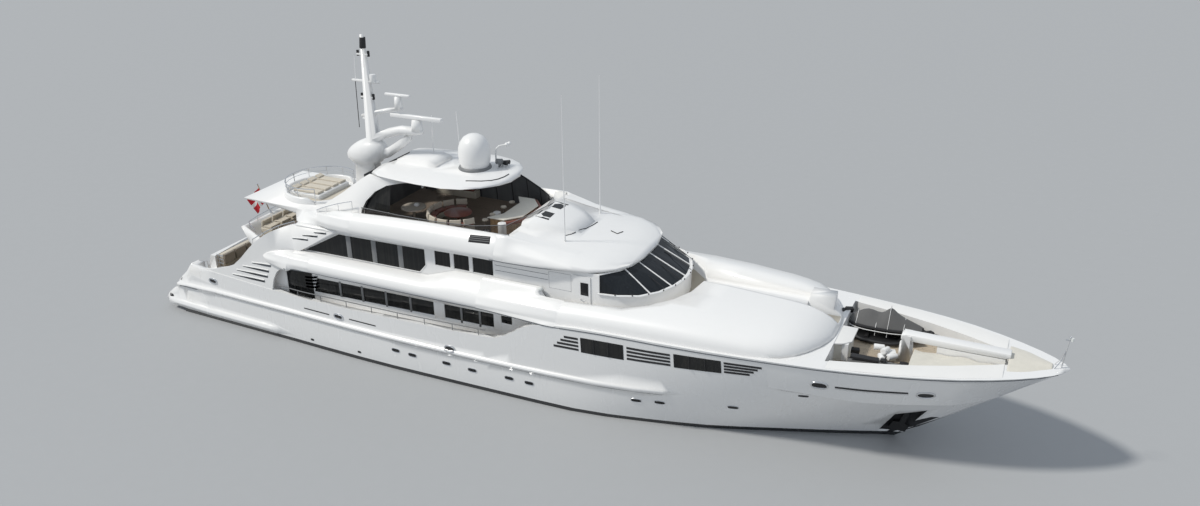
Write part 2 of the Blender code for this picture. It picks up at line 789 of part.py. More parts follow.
def house_ring(z_of, out=0.0, front_only=False):
    """The house's plan at a height. Its front leans aft from the sill to the head."""
    port = [] if front_only else [(x, y, z_of(x)) for x, y in SIDE_PLAN]
    for (x0, y0), (x1, y1) in zip(FRONT_SILL, FRONT_HEAD):
        z = z_of(x0)
        share = max(0.0, (z - SILL_Z) / (HEAD_Z - SILL_Z))
        x = x0 + (x1 - x0) * share
        y = y0 + (y1 - y0) * share
        r = math.hypot(x - 2.0, y)
        port.append((x + (x - 2.0) / r * out, y + y / r * out, z))
    return port + [(x, -y, z) for x, y, z in reversed(port)]


foot = house_ring(lambda x: (UPPER_DECK_Z if x < 1.05 else BRIDGE_DECK_Z) + GAP)
sill = house_ring(lambda x: SILL_Z)
head = house_ring(lambda x: roof_low(min(x, 6.2)) - 0.002)
upper_house = finish("upper_house", wall_mesh("upper_house", [foot, sill, head], 0.12), WHITE)

AFT_PANES = [(-16.75, 6.83), (-7.6, 6.85), (-7.1, 7.4), (-7.1, 8.5), (-13.75, 8.45)]
FORE_PANES = [(-6.4, 7.55), (-2.2, 7.55), (-2.2, 8.6), (-6.4, 8.52)]
for side, word in ((1, "port"), (-1, "starboard")):
    for tag, band in (("aft", AFT_PANES), ("fore", FORE_PANES)):
        boolean(
            upper_house,
            finish("upper band " + tag + word, side_window("band", band, 4.6, 3.8, side), GLASS),
        )
        finish(
            "upper_glass_" + tag + "_" + word,
            side_window("glass", shrink_outline(band, GAP), 4.13, 4.08, side),
            GLASS,
        )
    y0, y1 = sorted((side * 4.6, side * 3.7))
    boolean(
        upper_house,
        finish("bridge door opening " + word, box_mesh("opening", 3.3, 4.3, y0, y1, 6.6, 8.6), GLASS),
    )
boolean(upper_house, finish("upper opening", box_mesh("opening", -17.8, -16.9, -1.5, 1.5, 5.5, 8.3), GLASS))

# Bridge windows: a band that follows the raked front

BAND_LOW, BAND_HIGH = 7.75, 8.86


def front_band(name, outer, inner, low, high, end=0.0):
    """A band around the front of the bridge between two heights and two offsets from its face."""
    corners = [
        house_ring(lambda x: low, outer, True), house_ring(lambda x: high, outer, True),
        house_ring(lambda x: high, inner, True), house_ring(lambda x: low, inner, True),
    ]
    for ring in corners:
        for a, b in ((0, 1), (-1, -2)):
            ring[a] = tuple(p + (q - p) * end for p, q in zip(ring[a], ring[b]))
    return loft_mesh(name, [list(cell) for cell in zip(*corners)])


boolean(upper_house, finish("bridge band", front_band("bridge band", 0.4, -0.5, BAND_LOW, BAND_HIGH), GLASS))
bridge_glass = finish(
    "bridge_glass", front_band("bridge_glass", -0.03, -0.08, BAND_LOW + GAP, BAND_HIGH - GAP, 0.01), GLASS,
)
for side, word in ((1, "port"), (-1, "starboard")):
    y0, y1 = sorted((side * (4.18 + GAP), side * 4.24))
    finish(
        "bridge_door_" + word,
        box_mesh("door", 3.25, 4.35, y0, y1, 6.5, 8.65),
        WHITE,
        joint=(3.8, side * 4.22, 7.6),
    )
finish(
    "upper_aft_door",
    box_mesh("upper_aft_door", -17.26, -17.201, -1.56, 1.56, UPPER_DECK_Z + CLEAR, 8.36),
    GLASS,
    joint=(-17.23, 0.0, 7.2),
)

# Coach roof, from the bridge front to the foredeck

COACH_Y = [
    (0.9, 5.6), (9.0, 5.6), (12.0, 5.45), (14.0, 5.2), (15.0, 4.95), (15.85, 4.66), (16.5, 4.15),
    (17.0, 3.55),
    (17.5, 2.7), (17.8, 1.9), (17.98, 1.1),
]
COACH_CREST = [
    (0.9, 7.3), (4.0, 7.5), (9.8, 7.62), (13.3, 7.46), (15.7, 7.3), (16.6, 7.12), (17.3, 6.85), (17.7, 6.6),
    (17.98, 6.3),
]


def coach_section(x):
    ledge = min(table(SHEER_Y, x) - 0.22, table(COACH_Y, x))
    low = sheer_z(x) + GAP
    crest = table(COACH_CREST, x)
    shoulder = ledge * table([(0.9, 0.88), (9.0, 0.87), (14.0, 0.84), (17.98, 0.8)], x)
    span = crest - low
    return [
        (0.0, low), (ledge, low), (ledge - 0.02, low + 0.22 * span),
        (shoulder + (ledge - shoulder) * 0.72, low + 0.5 * span),
        (shoulder, low + 0.72 * span), (shoulder * 0.75, low + 0.9 * span),
        (shoulder * 0.35, low + 0.985 * span), (0.0, crest),
    ]


coach_xs = [1.101, 2.0, 4.0, 6.5, 9.0, 11.5, 14.0, 15.0, 15.85, 16.5, 17.0, 17.5, 17.8, 17.98]
coach_roof = finish("coach_roof", section_loft("coach_roof", coach_xs, coach_section), WHITE, 40)
WELL_NEAR = [(-1.0, 4.62), (4.5, 4.62), (6.6, 4.45), (7.9, 3.85), (8.95, 2.8), (9.6, 1.55), (9.8, 0.0)]
well_outline = WELL_NEAR + [(x, -y) for x, y in reversed(WELL_NEAR[:-1])]
boolean(
    coach_roof, finish("bridge well", plate_mesh("bridge well", well_outline, 2, BRIDGE_DECK_Z, 9.0), WHITE),
)
WALK_Z = 7.02
WALK_PLAN = [(9.0, 0.12), (15.95, 0.12), (15.95, 1.75), (9.0, 2.05)]
boolean(coach_roof, finish("foredeck walk", plate_mesh("foredeck walk", WALK_PLAN, 2, WALK_Z, 9.0), WHITE))
boolean(
    coach_roof,
    finish("foredeck steps", box_mesh("foredeck steps", 15.9, 18.2, 0.12, 1.05, 6.4, 9.0), WHITE),
)
boolean(
    coach_roof, finish("walk locker", box_mesh("locker", 16.0, 17.4, 1.05, 1.95, 6.5, 7.55), WHITE), "UNION",
)
finish("deck_locker", box_mesh("locker", 18.11, 18.85, -1.5, -0.3, FORE_DECK_Z + GAP, 6.05), WHITE)

# Sun deck

SUN_Y = [
    (-22.6, 3.05), (-20.0, 3.12), (-17.6, 3.2), (-16.9, 3.5), (-16.2, 3.9), (-15.31, 4.24), (-15.29, 4.35),
    (-14.0, 4.62),
    (-10.0, 4.8), (-2.0, 4.8), (1.0, 4.72), (3.0, 4.52), (4.25, 4.35), (5.3, 3.75), (6.1, 2.7), (6.4, 1.3),
]


def sun_section(x):
    out = table(SUN_Y, x)
    low = roof_low(x)
    if x < -15.3:
        foot_y = table([(-22.6, 2.9), (-18.0, 3.1), (-17.3, 4.0), (-16.9, 4.25), (-15.31, 4.25)], x)
        foot_y = max(foot_y, out - 0.14)
        flat = min(out, 3.5)
        return [
            (0.0, low), (out - 0.5, low), (foot_y, low), (foot_y, low + 0.06), (max(out, flat), 9.22),
            (flat, SUN_DECK_Z), (flat - 0.01, SUN_DECK_Z), (flat - 0.02, SUN_DECK_Z), (0.0, SUN_DECK_Z),
        ]
    if x < -1.2:
        top = table([(-15.29, 9.45), (-14.0, 9.9), (-11.0, 10.15), (-8.0, 10.3), (-1.2, 10.35)], x)
        return [
            (0.0, low), (out - 0.35, low), (out - 0.06, low + 0.1), (out, low + 0.45),
            (out - 0.25, low + 0.95),
            (out - 0.65, top), (out - 0.8, top), (out - 0.82, SUN_DECK_Z), (0.0, SUN_DECK_Z),
        ]
    crest = table([(-1.2, 10.36), (0.5, 10.15), (2.5, 9.88), (4.5, 9.62), (5.6, 9.42), (6.4, 9.15)], x)
    edge = table([(-1.2, 10.3), (0.5, 10.0), (2.5, 9.72), (4.5, 9.48), (6.4, 9.1)], x)
    return [
        (0.0, low), (out - 0.35, low), (out - 0.06, low + 0.06), (out, low + 0.2),
        (out - 0.16, low + 0.5 * (edge - low)),
        (out * 0.88, low + 0.84 * (edge - low)), (out * 0.78, edge), (out * 0.4, crest - 0.04), (0.0, crest),
    ]


sun_xs = [
    -22.6, -20.0, -18.0, -17.3, -16.9, -16.2, -15.31, -15.29, -14.2, -12.6, -10.0, -7.0, -4.0, -2.0, -1.21,
    -1.19, 0.5,
    2.5, 4.25, 5.0, 5.6, 6.1, 6.4,
]
sun_deck = finish("sun_deck", section_loft("sun_deck", sun_xs, sun_section), WHITE, 40)
skylight_rings = []
for x, wide, tall in (
    (-1.15, 2.55, 0.3), (-0.6, 2.5, 0.42), (0.4, 2.3, 0.42), (1.3, 1.9, 0.28), (2.2, 1.2, 0.05),
):
    base = table([(-1.2, 10.36), (0.5, 10.15), (2.5, 9.88)], x) - 0.3
    skylight_rings.append(
        [
            (x, -wide, base), (x, wide, base), (x, wide * 0.86, base + 0.3 + tall * 0.7),
            (x, wide * 0.5, base + 0.3 + tall), (x, -wide * 0.5, base + 0.3 + tall),
            (x, -wide * 0.86, base + 0.3 + tall * 0.7),
        ]
    )
boolean(sun_deck, finish("skylight fairing", loft_mesh("fairing", skylight_rings), WHITE), "UNION")

# Arch, hardtop and mast

ARCH_LEAN = 0.16
TOP_LOW = 12.33
ARCH_TOP = TOP_LOW - GAP
ARCH_FOOT_Y = (3.15, 3.45)
arch_outline = [
    (-16.2, SUN_DECK_Z), (-15.15, 10.12), (-13.8, 11.0), (-12.7, 11.8), (-12.2, 12.15), (-11.9, ARCH_TOP),
    (-8.4, ARCH_TOP),
    (-9.4, 12.12), (-10.4, 11.85), (-11.3, 11.35), (-12.0, 10.65), (-12.35, 10.0), (-12.45, SUN_DECK_Z),
]
arch_mesh = plate_mesh("arch", [(x, max(z, SUN_DECK_Z + GAP)) for x, z in arch_outline], 1, *ARCH_FOOT_Y)
for v in arch_mesh.vertices:
    v.co.y -= ARCH_LEAN * (v.co.z - SUN_DECK_Z)
mirror_pair("arch", arch_mesh, WHITE)

TOP_Y = [
    (-11.7, 2.75), (-11.3, 2.95), (-10.8, 3.1), (-9.5, 3.3), (-8.0, 3.45), (-6.0, 3.5), (-4.8, 3.2),
    (-3.8, 2.6),
    (-3.1, 1.7), (-2.75, 0.7),
]


def top_section(x):
    out = table(TOP_Y, x)
    high = 12.5 + 0.25 * min(1.0, out / 3.0)
    return [
        (0.0, TOP_LOW), (out * 0.85, TOP_LOW), (out, TOP_LOW + 0.1), (out * 0.93, TOP_LOW + 0.2),
        (out * 0.5, high - 0.05),
        (0.0, high),
    ]


hardtop = finish("hardtop", section_loft("hardtop", [x for x, _ in TOP_Y], top_section), WHITE, 40)
boolean(
    hardtop,
    finish("hardtop notch", rod_mesh("notch", (-13.3, 0, 11.0), (-13.3, 0, 14.0), 2.2, sides=24), WHITE),
)
fairing_rings = []
for x, wide, top in ((-11.05, 0.95, 12.86), (-10.6, 1.1, 12.95), (-8.6, 1.15, 13.12), (-8.0, 1.1, 12.95)):
    fairing_rings.append([(x, -wide, 12.45), (x, wide, 12.45), (x, wide * 0.85, top), (x, -wide * 0.85, top)])
boolean(hardtop, finish("hardtop fairing", loft_mesh("fairing", fairing_rings), WHITE), "UNION")
RADOME_FOOT_Z = 12.79
radome_seat = rod_mesh("seat", (-5.65, 0.0, 12.5), (-5.65, 0.0, RADOME_FOOT_Z), 1.05, sides=24)
boolean(hardtop, finish("radome seat", radome_seat, WHITE), "UNION")

POD_TAIL_X, POD_NOSE_X = -15.65, -12.5


def pod_section(x):
    s = (x - POD_TAIL_X) / (POD_NOSE_X - POD_TAIL_X)
    r = 1.02 * math.sqrt(max(0.0, 1 - (2 * s - 1) ** 2)) * (0.72 + 0.42 * s) + 0.02
    z = 12.42 + 0.62 * s
    ring = []
    for k in range(9):
        a = -math.pi / 2 + math.pi * k / 8
        ring.append((r * math.cos(a) * 0.85, z + r * math.sin(a)))
    return ring


def arm_mesh(stations):
    """A tapered arm along X from (x, half width, low, high) stations."""
    rings = []
    for x, w, low, high in stations:
        mid = (low + high) / 2
        rings.append(
            [
                (x, 0.6 * w, low), (x, w, mid), (x, 0.6 * w, high), (x, -0.6 * w, high), (x, -w, mid),
                (x, -0.6 * w, low),
            ]
        )
    return loft_mesh("arm", rings)


def pod_stations():
    count = 12
    return [
        POD_TAIL_X + (POD_NOSE_X - POD_TAIL_X) * (1 - math.cos(math.pi * k / count)) / 2
        for k in range(count + 1)
    ]


MAST_BASE = (-13.4, 0.0, 13.0)
MAST_HEAD = (-13.5, 0.0, 20.6)
LOWER_RADAR = (-9.85, 0.0, 15.42)
UPPER_RADAR = (-11.15, 0.0, 16.8)
mast = finish("mast", section_loft("mast", pod_stations(), pod_section), WHITE, 50)
mast_extras = [
    ("mast pole", rod_mesh("pole", MAST_BASE, MAST_HEAD, 0.52, 0.12, 12)),
    (
        "mast leg",
        arm_mesh(
            [
                (-14.9, 0.45, SUN_DECK_Z + GAP, 12.2), (-14.2, 0.5, SUN_DECK_Z + GAP, 12.6),
                (-13.3, 0.42, SUN_DECK_Z + GAP, 12.8),
            ],
        ),
    ),
    (
        "mast arm",
        arm_mesh(
            [
                (-13.2, 0.42, 13.5, 14.1), (-12.2, 0.36, 13.95, 14.55), (-11.1, 0.34, 14.3, 14.86),
                (-9.9, 0.3, 14.4, 14.86), (-9.45, 0.16, 14.5, 14.78),
            ],
        ),
    ),
    (
        "mast strut",
        arm_mesh(
            [
                (-13.1, 0.3, 12.3, 12.95), (-12.2, 0.26, 12.62, 13.3), (-11.2, 0.22, 13.3, 13.95),
                (-10.4, 0.18, 13.95, 14.5),
            ],
        ),
    ),
    (
        "mast shelf",
        arm_mesh(
            [
                (-14.15, 0.08, 15.16, 15.32), (-13.4, 0.2, 15.25, 15.6), (-12.0, 0.16, 15.68, 15.95),
                (-10.9, 0.14, 15.92, 16.12),
            ],
        ),
    ),
    ("spreader", arm_mesh([(-14.6, 0.08, 17.5, 17.66), (-12.5, 0.08, 17.5, 17.66)])),
    ("lower hub", rod_mesh("hub", (-9.85, 0, 14.7), (-9.85, 0, LOWER_RADAR[2] - CLEAR), 0.4, 0.3, 14)),
    ("upper hub", rod_mesh("hub", (-11.15, 0, 15.98), (-11.15, 0, UPPER_RADAR[2] - CLEAR), 0.26, 0.22, 14)),
]
for tag, mesh in mast_extras:
    boolean(mast, finish(tag, mesh, WHITE), "UNION")

RADAR_SPECS = (("radar_lower", LOWER_RADAR, 1.95, 0.14, 0.26), ("radar_upper", UPPER_RADAR, 0.95, 0.1, 0.18))
for name, spot, reach, wide, tall in RADAR_SPECS:
    x, _, z = spot
    bar = finish(name, box_mesh(name, x - reach, x + reach, -wide, wide, z, z + tall), WHITE, joint=spot)
    bevel(bar, 0.05)

radome = finish(
    "radome",
    turned_mesh(
        "radome",
        [
            (0.0, 14.98), (0.35, 14.92), (0.65, 14.75), (0.88, 14.45), (1.0, 14.1), (1.03, 13.7),
            (1.0, 13.2), (0.9, 12.95),
            (0.95, RADOME_FOOT_Z + GAP), (0.0, RADOME_FOOT_Z + GAP),
        ],
        (-5.65, 0.0),
    ),
    WHITE,
    50,
)

# Sun deck furniture

SOFA_TOP = 0.5
bar_plan = [
    (-3.6, 1.9), (-2.6, 1.9), (-1.9, 1.0), (-1.9, -1.0), (-2.6, -1.9), (-3.6, -1.9), (-3.0, -1.0),
    (-3.0, 1.0),
]
finish("sun_bar", plate_mesh("bar", bar_plan, 2, SUN_DECK_Z + GAP, 10.3), CREAM)
finish("sun_sofa", box_mesh("sofa", -10.8, -7.6, 2.9, 3.7, SUN_DECK_Z + GAP, SUN_DECK_Z + SOFA_TOP), CREAM)
table_profile = [
    (0.0, 10.02), (0.9, 10.02), (0.9, 9.96), (0.1, 9.94), (0.1, 9.36), (0.35, SUN_DECK_Z + GAP),
    (0.0, SUN_DECK_Z + GAP),
]
finish("sun_table", turned_mesh("table", table_profile, (-6.4, -1.2), 20), WOOD)
pads = finish("sun_pads", box_mesh("pads", -19.8, -17.2, -1.6, 1.6, SUN_DECK_Z + GAP, 9.7), CREAM)
bevel(pads, 0.08)
finish(
    "upper_sofa", box_mesh("sofa", -22.4, -21.4, -2.2, 2.2, UPPER_DECK_Z + GAP, UPPER_DECK_Z + 0.65), CREAM,
)
finish("main_sofa", box_mesh("sofa", -26.2, -25.0, -2.3, 2.3, MAIN_DECK_Z + GAP, MAIN_DECK_Z + 0.95), CREAM)

# Foredeck

TENDERS = {
    "port": (2.2, [
        (18.2, 0.7, 5.3, 6.0), (18.7, 1.0, 5.1, 6.2), (19.5, 1.2, 5.05, 6.3), (20.4, 1.1, 5.05, 6.3),
        (21.4, 0.8, 5.15, 6.2),
        (22.0, 0.4, 5.4, 6.1), (22.3, 0.06, 5.75, 5.95),
    ]),
    "starboard": (-2.2, [
        (18.95, 0.5, 5.35, 5.7), (19.4, 0.72, 5.15, 5.85), (20.4, 0.85, 5.05, 5.95), (21.4, 0.8, 5.05, 5.95),
        (22.2, 0.55, 5.2, 5.85), (22.7, 0.2, 5.4, 5.75), (22.85, 0.05, 5.55, 5.65),
    ]),
}
for word, (c, stations) in TENDERS.items():
    rings = []
    for x, w, low, high in stations:
        rings.append(
            [
                (x, c - w, high - 0.25), (x, c - w * 0.5, high), (x, c + w * 0.5, high),
                (x, c + w, high - 0.25),
                (x, c + w * 0.9, (low + high) / 2), (x, c + w * 0.25, low), (x, c - w * 0.25, low),
                (x, c - w * 0.9, (low + high) / 2),
            ]
        )
    tender = finish("tender_" + word, loft_mesh("tender", rings), COVER, 40)
    for x in (19.6, 21.2):
        chock = box_mesh("chock", x - 0.1, x + 0.1, c - 0.55, c + 0.55, FORE_DECK_Z + GAP, 5.45)
        boolean(tender, finish("chock", chock, TEAK), "UNION")

CRANE_X = 21.75
BOOM_Z = 6.53
BOOM_LOW, BOOM_HIGH = 6.34, 6.76
pedestal = finish(
    "crane_pedestal",
    rod_mesh("crane_pedestal", (CRANE_X, 0, FORE_DECK_Z + CLEAR), (CRANE_X, 0, 6.1), 0.42, 0.36, 16),
    WHITE,
    joint=(CRANE_X, 0.0, FORE_DECK_Z),
)
for side in (1, -1):
    y0, y1 = sorted((side * 0.36, side * 0.44))
    boolean(
        pedestal,
        finish("cheek", box_mesh("cheek", CRANE_X - 0.22, CRANE_X + 0.22, y0, y1, 5.9, BOOM_Z + 0.16), WHITE),
        "UNION",
    )
boolean(
    pedestal,
    finish("cheek foot", box_mesh("foot", CRANE_X - 0.22, CRANE_X + 0.22, -0.4, 0.4, 5.9, 6.2), WHITE),
    "UNION",
)
boom_outline = [
    (CRANE_X - 0.3, BOOM_LOW + 0.05), (CRANE_X - 0.1, BOOM_LOW), (26.9, BOOM_LOW), (27.15, BOOM_LOW + 0.1),
    (27.15, BOOM_HIGH - 0.08), (CRANE_X - 0.1, BOOM_HIGH), (CRANE_X - 0.3, BOOM_HIGH - 0.12),
]
boom = finish(
    "crane_boom",
    plate_mesh("crane_boom", boom_outline, 1, -0.335, 0.335),
    WHITE,
    joint=(CRANE_X, 0.0, BOOM_Z),
)
bevel(boom, 0.05)
finish(
    "crane_cradle", box_mesh("cradle", 23.4, 26.9, -0.32, 0.32, FORE_DECK_Z + GAP, BOOM_LOW - CLEAR * 3),
    WHITE,
)
WINDLASS_PLAN = [(24.2, -1.75), (25.4, -1.4), (26.6, -0.8), (26.6, -0.42), (24.2, -0.42)]
windlass = finish("windlass", plate_mesh("windlass", WINDLASS_PLAN, 2, FORE_DECK_Z + GAP, 5.65), CREAM)
bevel(windlass, 0.15)

for side, word in ((1, "port"), (-1, "starboard")):
    y0, y1 = sorted((side * (POCKET_IN_Y + GAP), side * (POCKET_IN_Y + 0.25)))
    anchor_plan = [
        (21.35, 0.75), (22.3, 0.72), (22.5, 1.1), (22.25, 1.25), (22.55, 2.3), (22.3, 2.3), (21.95, 1.3),
        (21.6, 1.25),
    ]
    finish("anchor_" + word, plate_mesh("anchor", anchor_plan, 1, y0, y1), STEEL)

finish(
    "ensign_staff", rod_mesh("ensign_staff", (-23.4, 0, RIM_Z + GAP), (-24.25, 0, 9.0), 0.04, 0.03, 8), WOOD,
)

# Below the water

SHAFT_Y = 2.1
SHAFT_Z = -2.0
RUDDER_X = -26.6
FIN_X = -2.4
FIN_Z = -1.92
for side, word in ((1, "port"), (-1, "starboard")):
    y = side * SHAFT_Y
    slope = 0.075
    boss_x = -21.4
    boss = rod_mesh(
        "boss", (boss_x, y, SHAFT_Z + slope * 3.55), (-17.4, y, SHAFT_Z + slope * 7.55), 0.26, 0.45, 14,
    )
    boolean(hull, finish("shaft boss " + word, boss, HULL_WHITE), "UNION")
    tail = (-24.95, y, SHAFT_Z)
    nose = (boss_x - 0.002, y, SHAFT_Z + slope * 3.548)
    shaft = finish("shaft_" + word, rod_mesh("shaft", tail, nose, 0.12, sides=12), STEEL)
    top = min(bottom_z(x, y + off) for x in (-24.3, -24.05, -23.8) for off in (-0.07, 0.07)) - 0.008
    boolean(
        shaft,
        finish("strut " + word, box_mesh("strut", -24.3, -23.8, y - 0.07, y + 0.07, SHAFT_Z, top), STEEL),
        "UNION",
    )
    centre = (-25.28, y, SHAFT_Z - 0.022)
    prop = finish(
        "propeller_" + word, rod_mesh("hub", (-25.6, y, centre[2]), (-24.965, y, centre[2]), 0.16, 0.2, 14),
        BRONZE,
    )
    for k in range(5):
        blade_plan = [(-0.32, 0.1), (0.3, 0.12), (0.42, 0.58), (0.12, 0.93), (-0.28, 0.86), (-0.42, 0.5)]
        blade = plate_mesh("blade", blade_plan, 1, -0.03, 0.03)
        blade.transform(mathutils.Matrix.Rotation(math.radians(58 * side), 4, "Z"))
        blade.transform(mathutils.Matrix.Rotation(2 * math.pi * k / 5, 4, "X"))
        blade.transform(mathutils.Matrix.Translation(centre))
        boolean(prop, finish("blade %s %d" % (word, k), blade, BRONZE), "UNION")
    sweep = [(RUDDER_X + dx, y + dy) for dx in (-0.8, -0.4, 0.0, 0.4) for dy in (-0.55, 0.0, 0.55)]
    rudder_top = min(bottom_z(*spot) for spot in sweep) - CLEAR
    rudder = finish(
        "rudder_" + word,
        plate_mesh(
            "rudder", [(-27.4, rudder_top), (-26.15, rudder_top), (-26.25, -2.9), (-27.2, -2.9)], 1,
            y - 0.1, y + 0.1,
        ),
        HULL_WHITE,
        joint=(RUDDER_X, y, rudder_top),
    )
    stock_top = min(bottom_z(RUDDER_X + dx, y + dy) for dx in (-0.1, 0.1) for dy in (-0.1, 0.1)) - 0.004
    stock = rod_mesh("rudder stock", (RUDDER_X, y, rudder_top - 0.2), (RUDDER_X, y, stock_top), 0.1, sides=12)
    boolean(rudder, finish("rudder stock " + word, stock, STEEL), "UNION")
    stock_y = max(under_y(FIN_X, FIN_Z + 0.08), under_y(FIN_X, FIN_Z - 0.08))
    clear_y = max(under_y(FIN_X + dx, FIN_Z + dz) for dx in (-0.8, 0.0, 0.8) for dz in (-0.36, 0.0, 0.36))
    fin_y = clear_y + 0.03
    y0, y1 = sorted((side * fin_y, side * (fin_y + 1.25)))
    fin = finish(
        "stabiliser_" + word,
        box_mesh("stabiliser", FIN_X - 0.8, FIN_X + 0.8, y0, y1, FIN_Z - 0.08, FIN_Z + 0.08), HULL_WHITE,
    )
    pin = rod_mesh(
        "stock", (FIN_X, side * (stock_y + 0.004), FIN_Z), (FIN_X, side * (fin_y + 0.3), FIN_Z), 0.075,
        sides=10,
    )
    boolean(fin, finish("stock " + word, pin, STEEL), "UNION")
    pivot = (FIN_X, side * fin_y, FIN_Z)
    for made in (fin, bpy.data.objects["stock " + word]):
        place(made, joint=pivot)
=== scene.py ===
"""Looks of a three-deck motor yacht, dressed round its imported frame.

Sizes in the classes are metres of the full-size yacht. The part is half that size, so a point goes
through half() on its way to a mesh. X points to the bow, Y to port and Z up from the waterline.
"""

import json
import logging
import math
from dataclasses import dataclass, field
from enum import Enum
from typing import Callable, Sequence

import bmesh
import bpy
from mathutils import Matrix, Vector
from mathutils.bvhtree import BVHTree

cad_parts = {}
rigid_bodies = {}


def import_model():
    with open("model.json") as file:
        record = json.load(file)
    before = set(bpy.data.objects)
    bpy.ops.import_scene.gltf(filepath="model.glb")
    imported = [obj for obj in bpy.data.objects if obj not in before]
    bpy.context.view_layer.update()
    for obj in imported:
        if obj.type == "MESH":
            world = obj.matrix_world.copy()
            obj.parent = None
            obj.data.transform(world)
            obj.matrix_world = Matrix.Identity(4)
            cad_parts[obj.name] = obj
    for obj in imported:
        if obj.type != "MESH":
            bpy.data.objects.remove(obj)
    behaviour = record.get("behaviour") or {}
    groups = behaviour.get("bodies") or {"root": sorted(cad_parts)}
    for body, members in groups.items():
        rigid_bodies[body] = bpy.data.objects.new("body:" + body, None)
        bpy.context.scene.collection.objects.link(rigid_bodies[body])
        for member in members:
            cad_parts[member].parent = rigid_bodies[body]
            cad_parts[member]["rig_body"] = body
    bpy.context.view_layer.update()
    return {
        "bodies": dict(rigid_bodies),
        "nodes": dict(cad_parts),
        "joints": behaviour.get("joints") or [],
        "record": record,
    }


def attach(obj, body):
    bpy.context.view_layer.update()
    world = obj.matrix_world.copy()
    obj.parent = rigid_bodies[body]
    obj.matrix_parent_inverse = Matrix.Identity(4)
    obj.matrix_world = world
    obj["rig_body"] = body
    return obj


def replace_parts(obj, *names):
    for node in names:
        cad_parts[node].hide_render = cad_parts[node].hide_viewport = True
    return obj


LOG = logging.getLogger("yacht")
MODEL_SCALE = 0.5
WELD = 0.0002  # vertices closer than this are one, in model metres
CLEAR_OF_SIDE = 12.0  # a Y that lies outboard of everything
MAIN_DECK = 2.6
UPPER_DECK = 6.1
SUN_DECK = 9.3
HIP_RAIL = 0.42  # the side deck's hand rail over its bulwark
Point = tuple[float, float, float]
Flat = tuple[float, float]
# X and half breadth of the foredeck well's rim
WELL_RIM = ((18.2, 3.93), (20.0, 3.49), (21.4, 3.1), (22.7, 2.69), (24.5, 1.99), (26.3, 1.15), (27.0, 0.75))


class Side(Enum):
    """The two sides of the yacht, with the sign of Y on each."""

    PORT = 1
    STARBOARD = -1

    @property
    def word(self) -> str:
        """The side's name as the solids spell it."""
        return self.name.lower()


def half(point: Sequence[float]) -> Vector:
    """Turns a full-size point into a point of the half-size part."""
    return Vector(point) * MODEL_SCALE


# Shader graphs


class Signal:
    """A socket of a node graph that takes part in arithmetic."""

    def __init__(self, graph: "Graph", socket: bpy.types.NodeSocket) -> None:
        """Keeps the graph and the socket."""
        self.graph = graph
        self.socket = socket

    def _math(self, operation: str, first: object, second: object) -> "Signal":
        """Adds one Math node for two values or signals."""
        return self.graph.out("ShaderNodeMath", {"operation": operation}, {0: first, 1: second})

    def __add__(self, other: object) -> "Signal":
        """Adds a value or signal."""
        return self._math("ADD", self, other)

    def __radd__(self, other: object) -> "Signal":
        """Adds this signal to a value."""
        return self._math("ADD", other, self)

    def __sub__(self, other: object) -> "Signal":
        """Takes a value or signal away."""
        return self._math("SUBTRACT", self, other)

    def __rsub__(self, other: object) -> "Signal":
        """Takes this signal from a value."""
        return self._math("SUBTRACT", other, self)

    def __mul__(self, other: object) -> "Signal":
        """Multiplies by a value or signal."""
        return self._math("MULTIPLY", self, other)

    def __lt__(self, other: object) -> "Signal":
        """1 where this signal is the smaller."""
        return self._math("LESS_THAN", self, other)

    def __mod__(self, other: object) -> "Signal":
        """The remainder of a division, never below 0."""
        return self._math("FLOORED_MODULO", self, other)

    def floor(self) -> "Signal":
        """The whole number below."""
        return self._math("FLOOR", self, 0.0)

    def size(self) -> "Signal":
        """The value without its sign."""
        return self._math("ABSOLUTE", self, 0.0)

    def ramp(self, low: float, high: float) -> "Signal":
        """Runs from 0 at low to 1 at high, and is held there."""
        settings = {"clamp": True, "interpolation_type": "SMOOTHSTEP"}
        return self.graph.out("ShaderNodeMapRange", settings, {0: self, 1: low, 2: high, 3: 0.0, 4: 1.0})


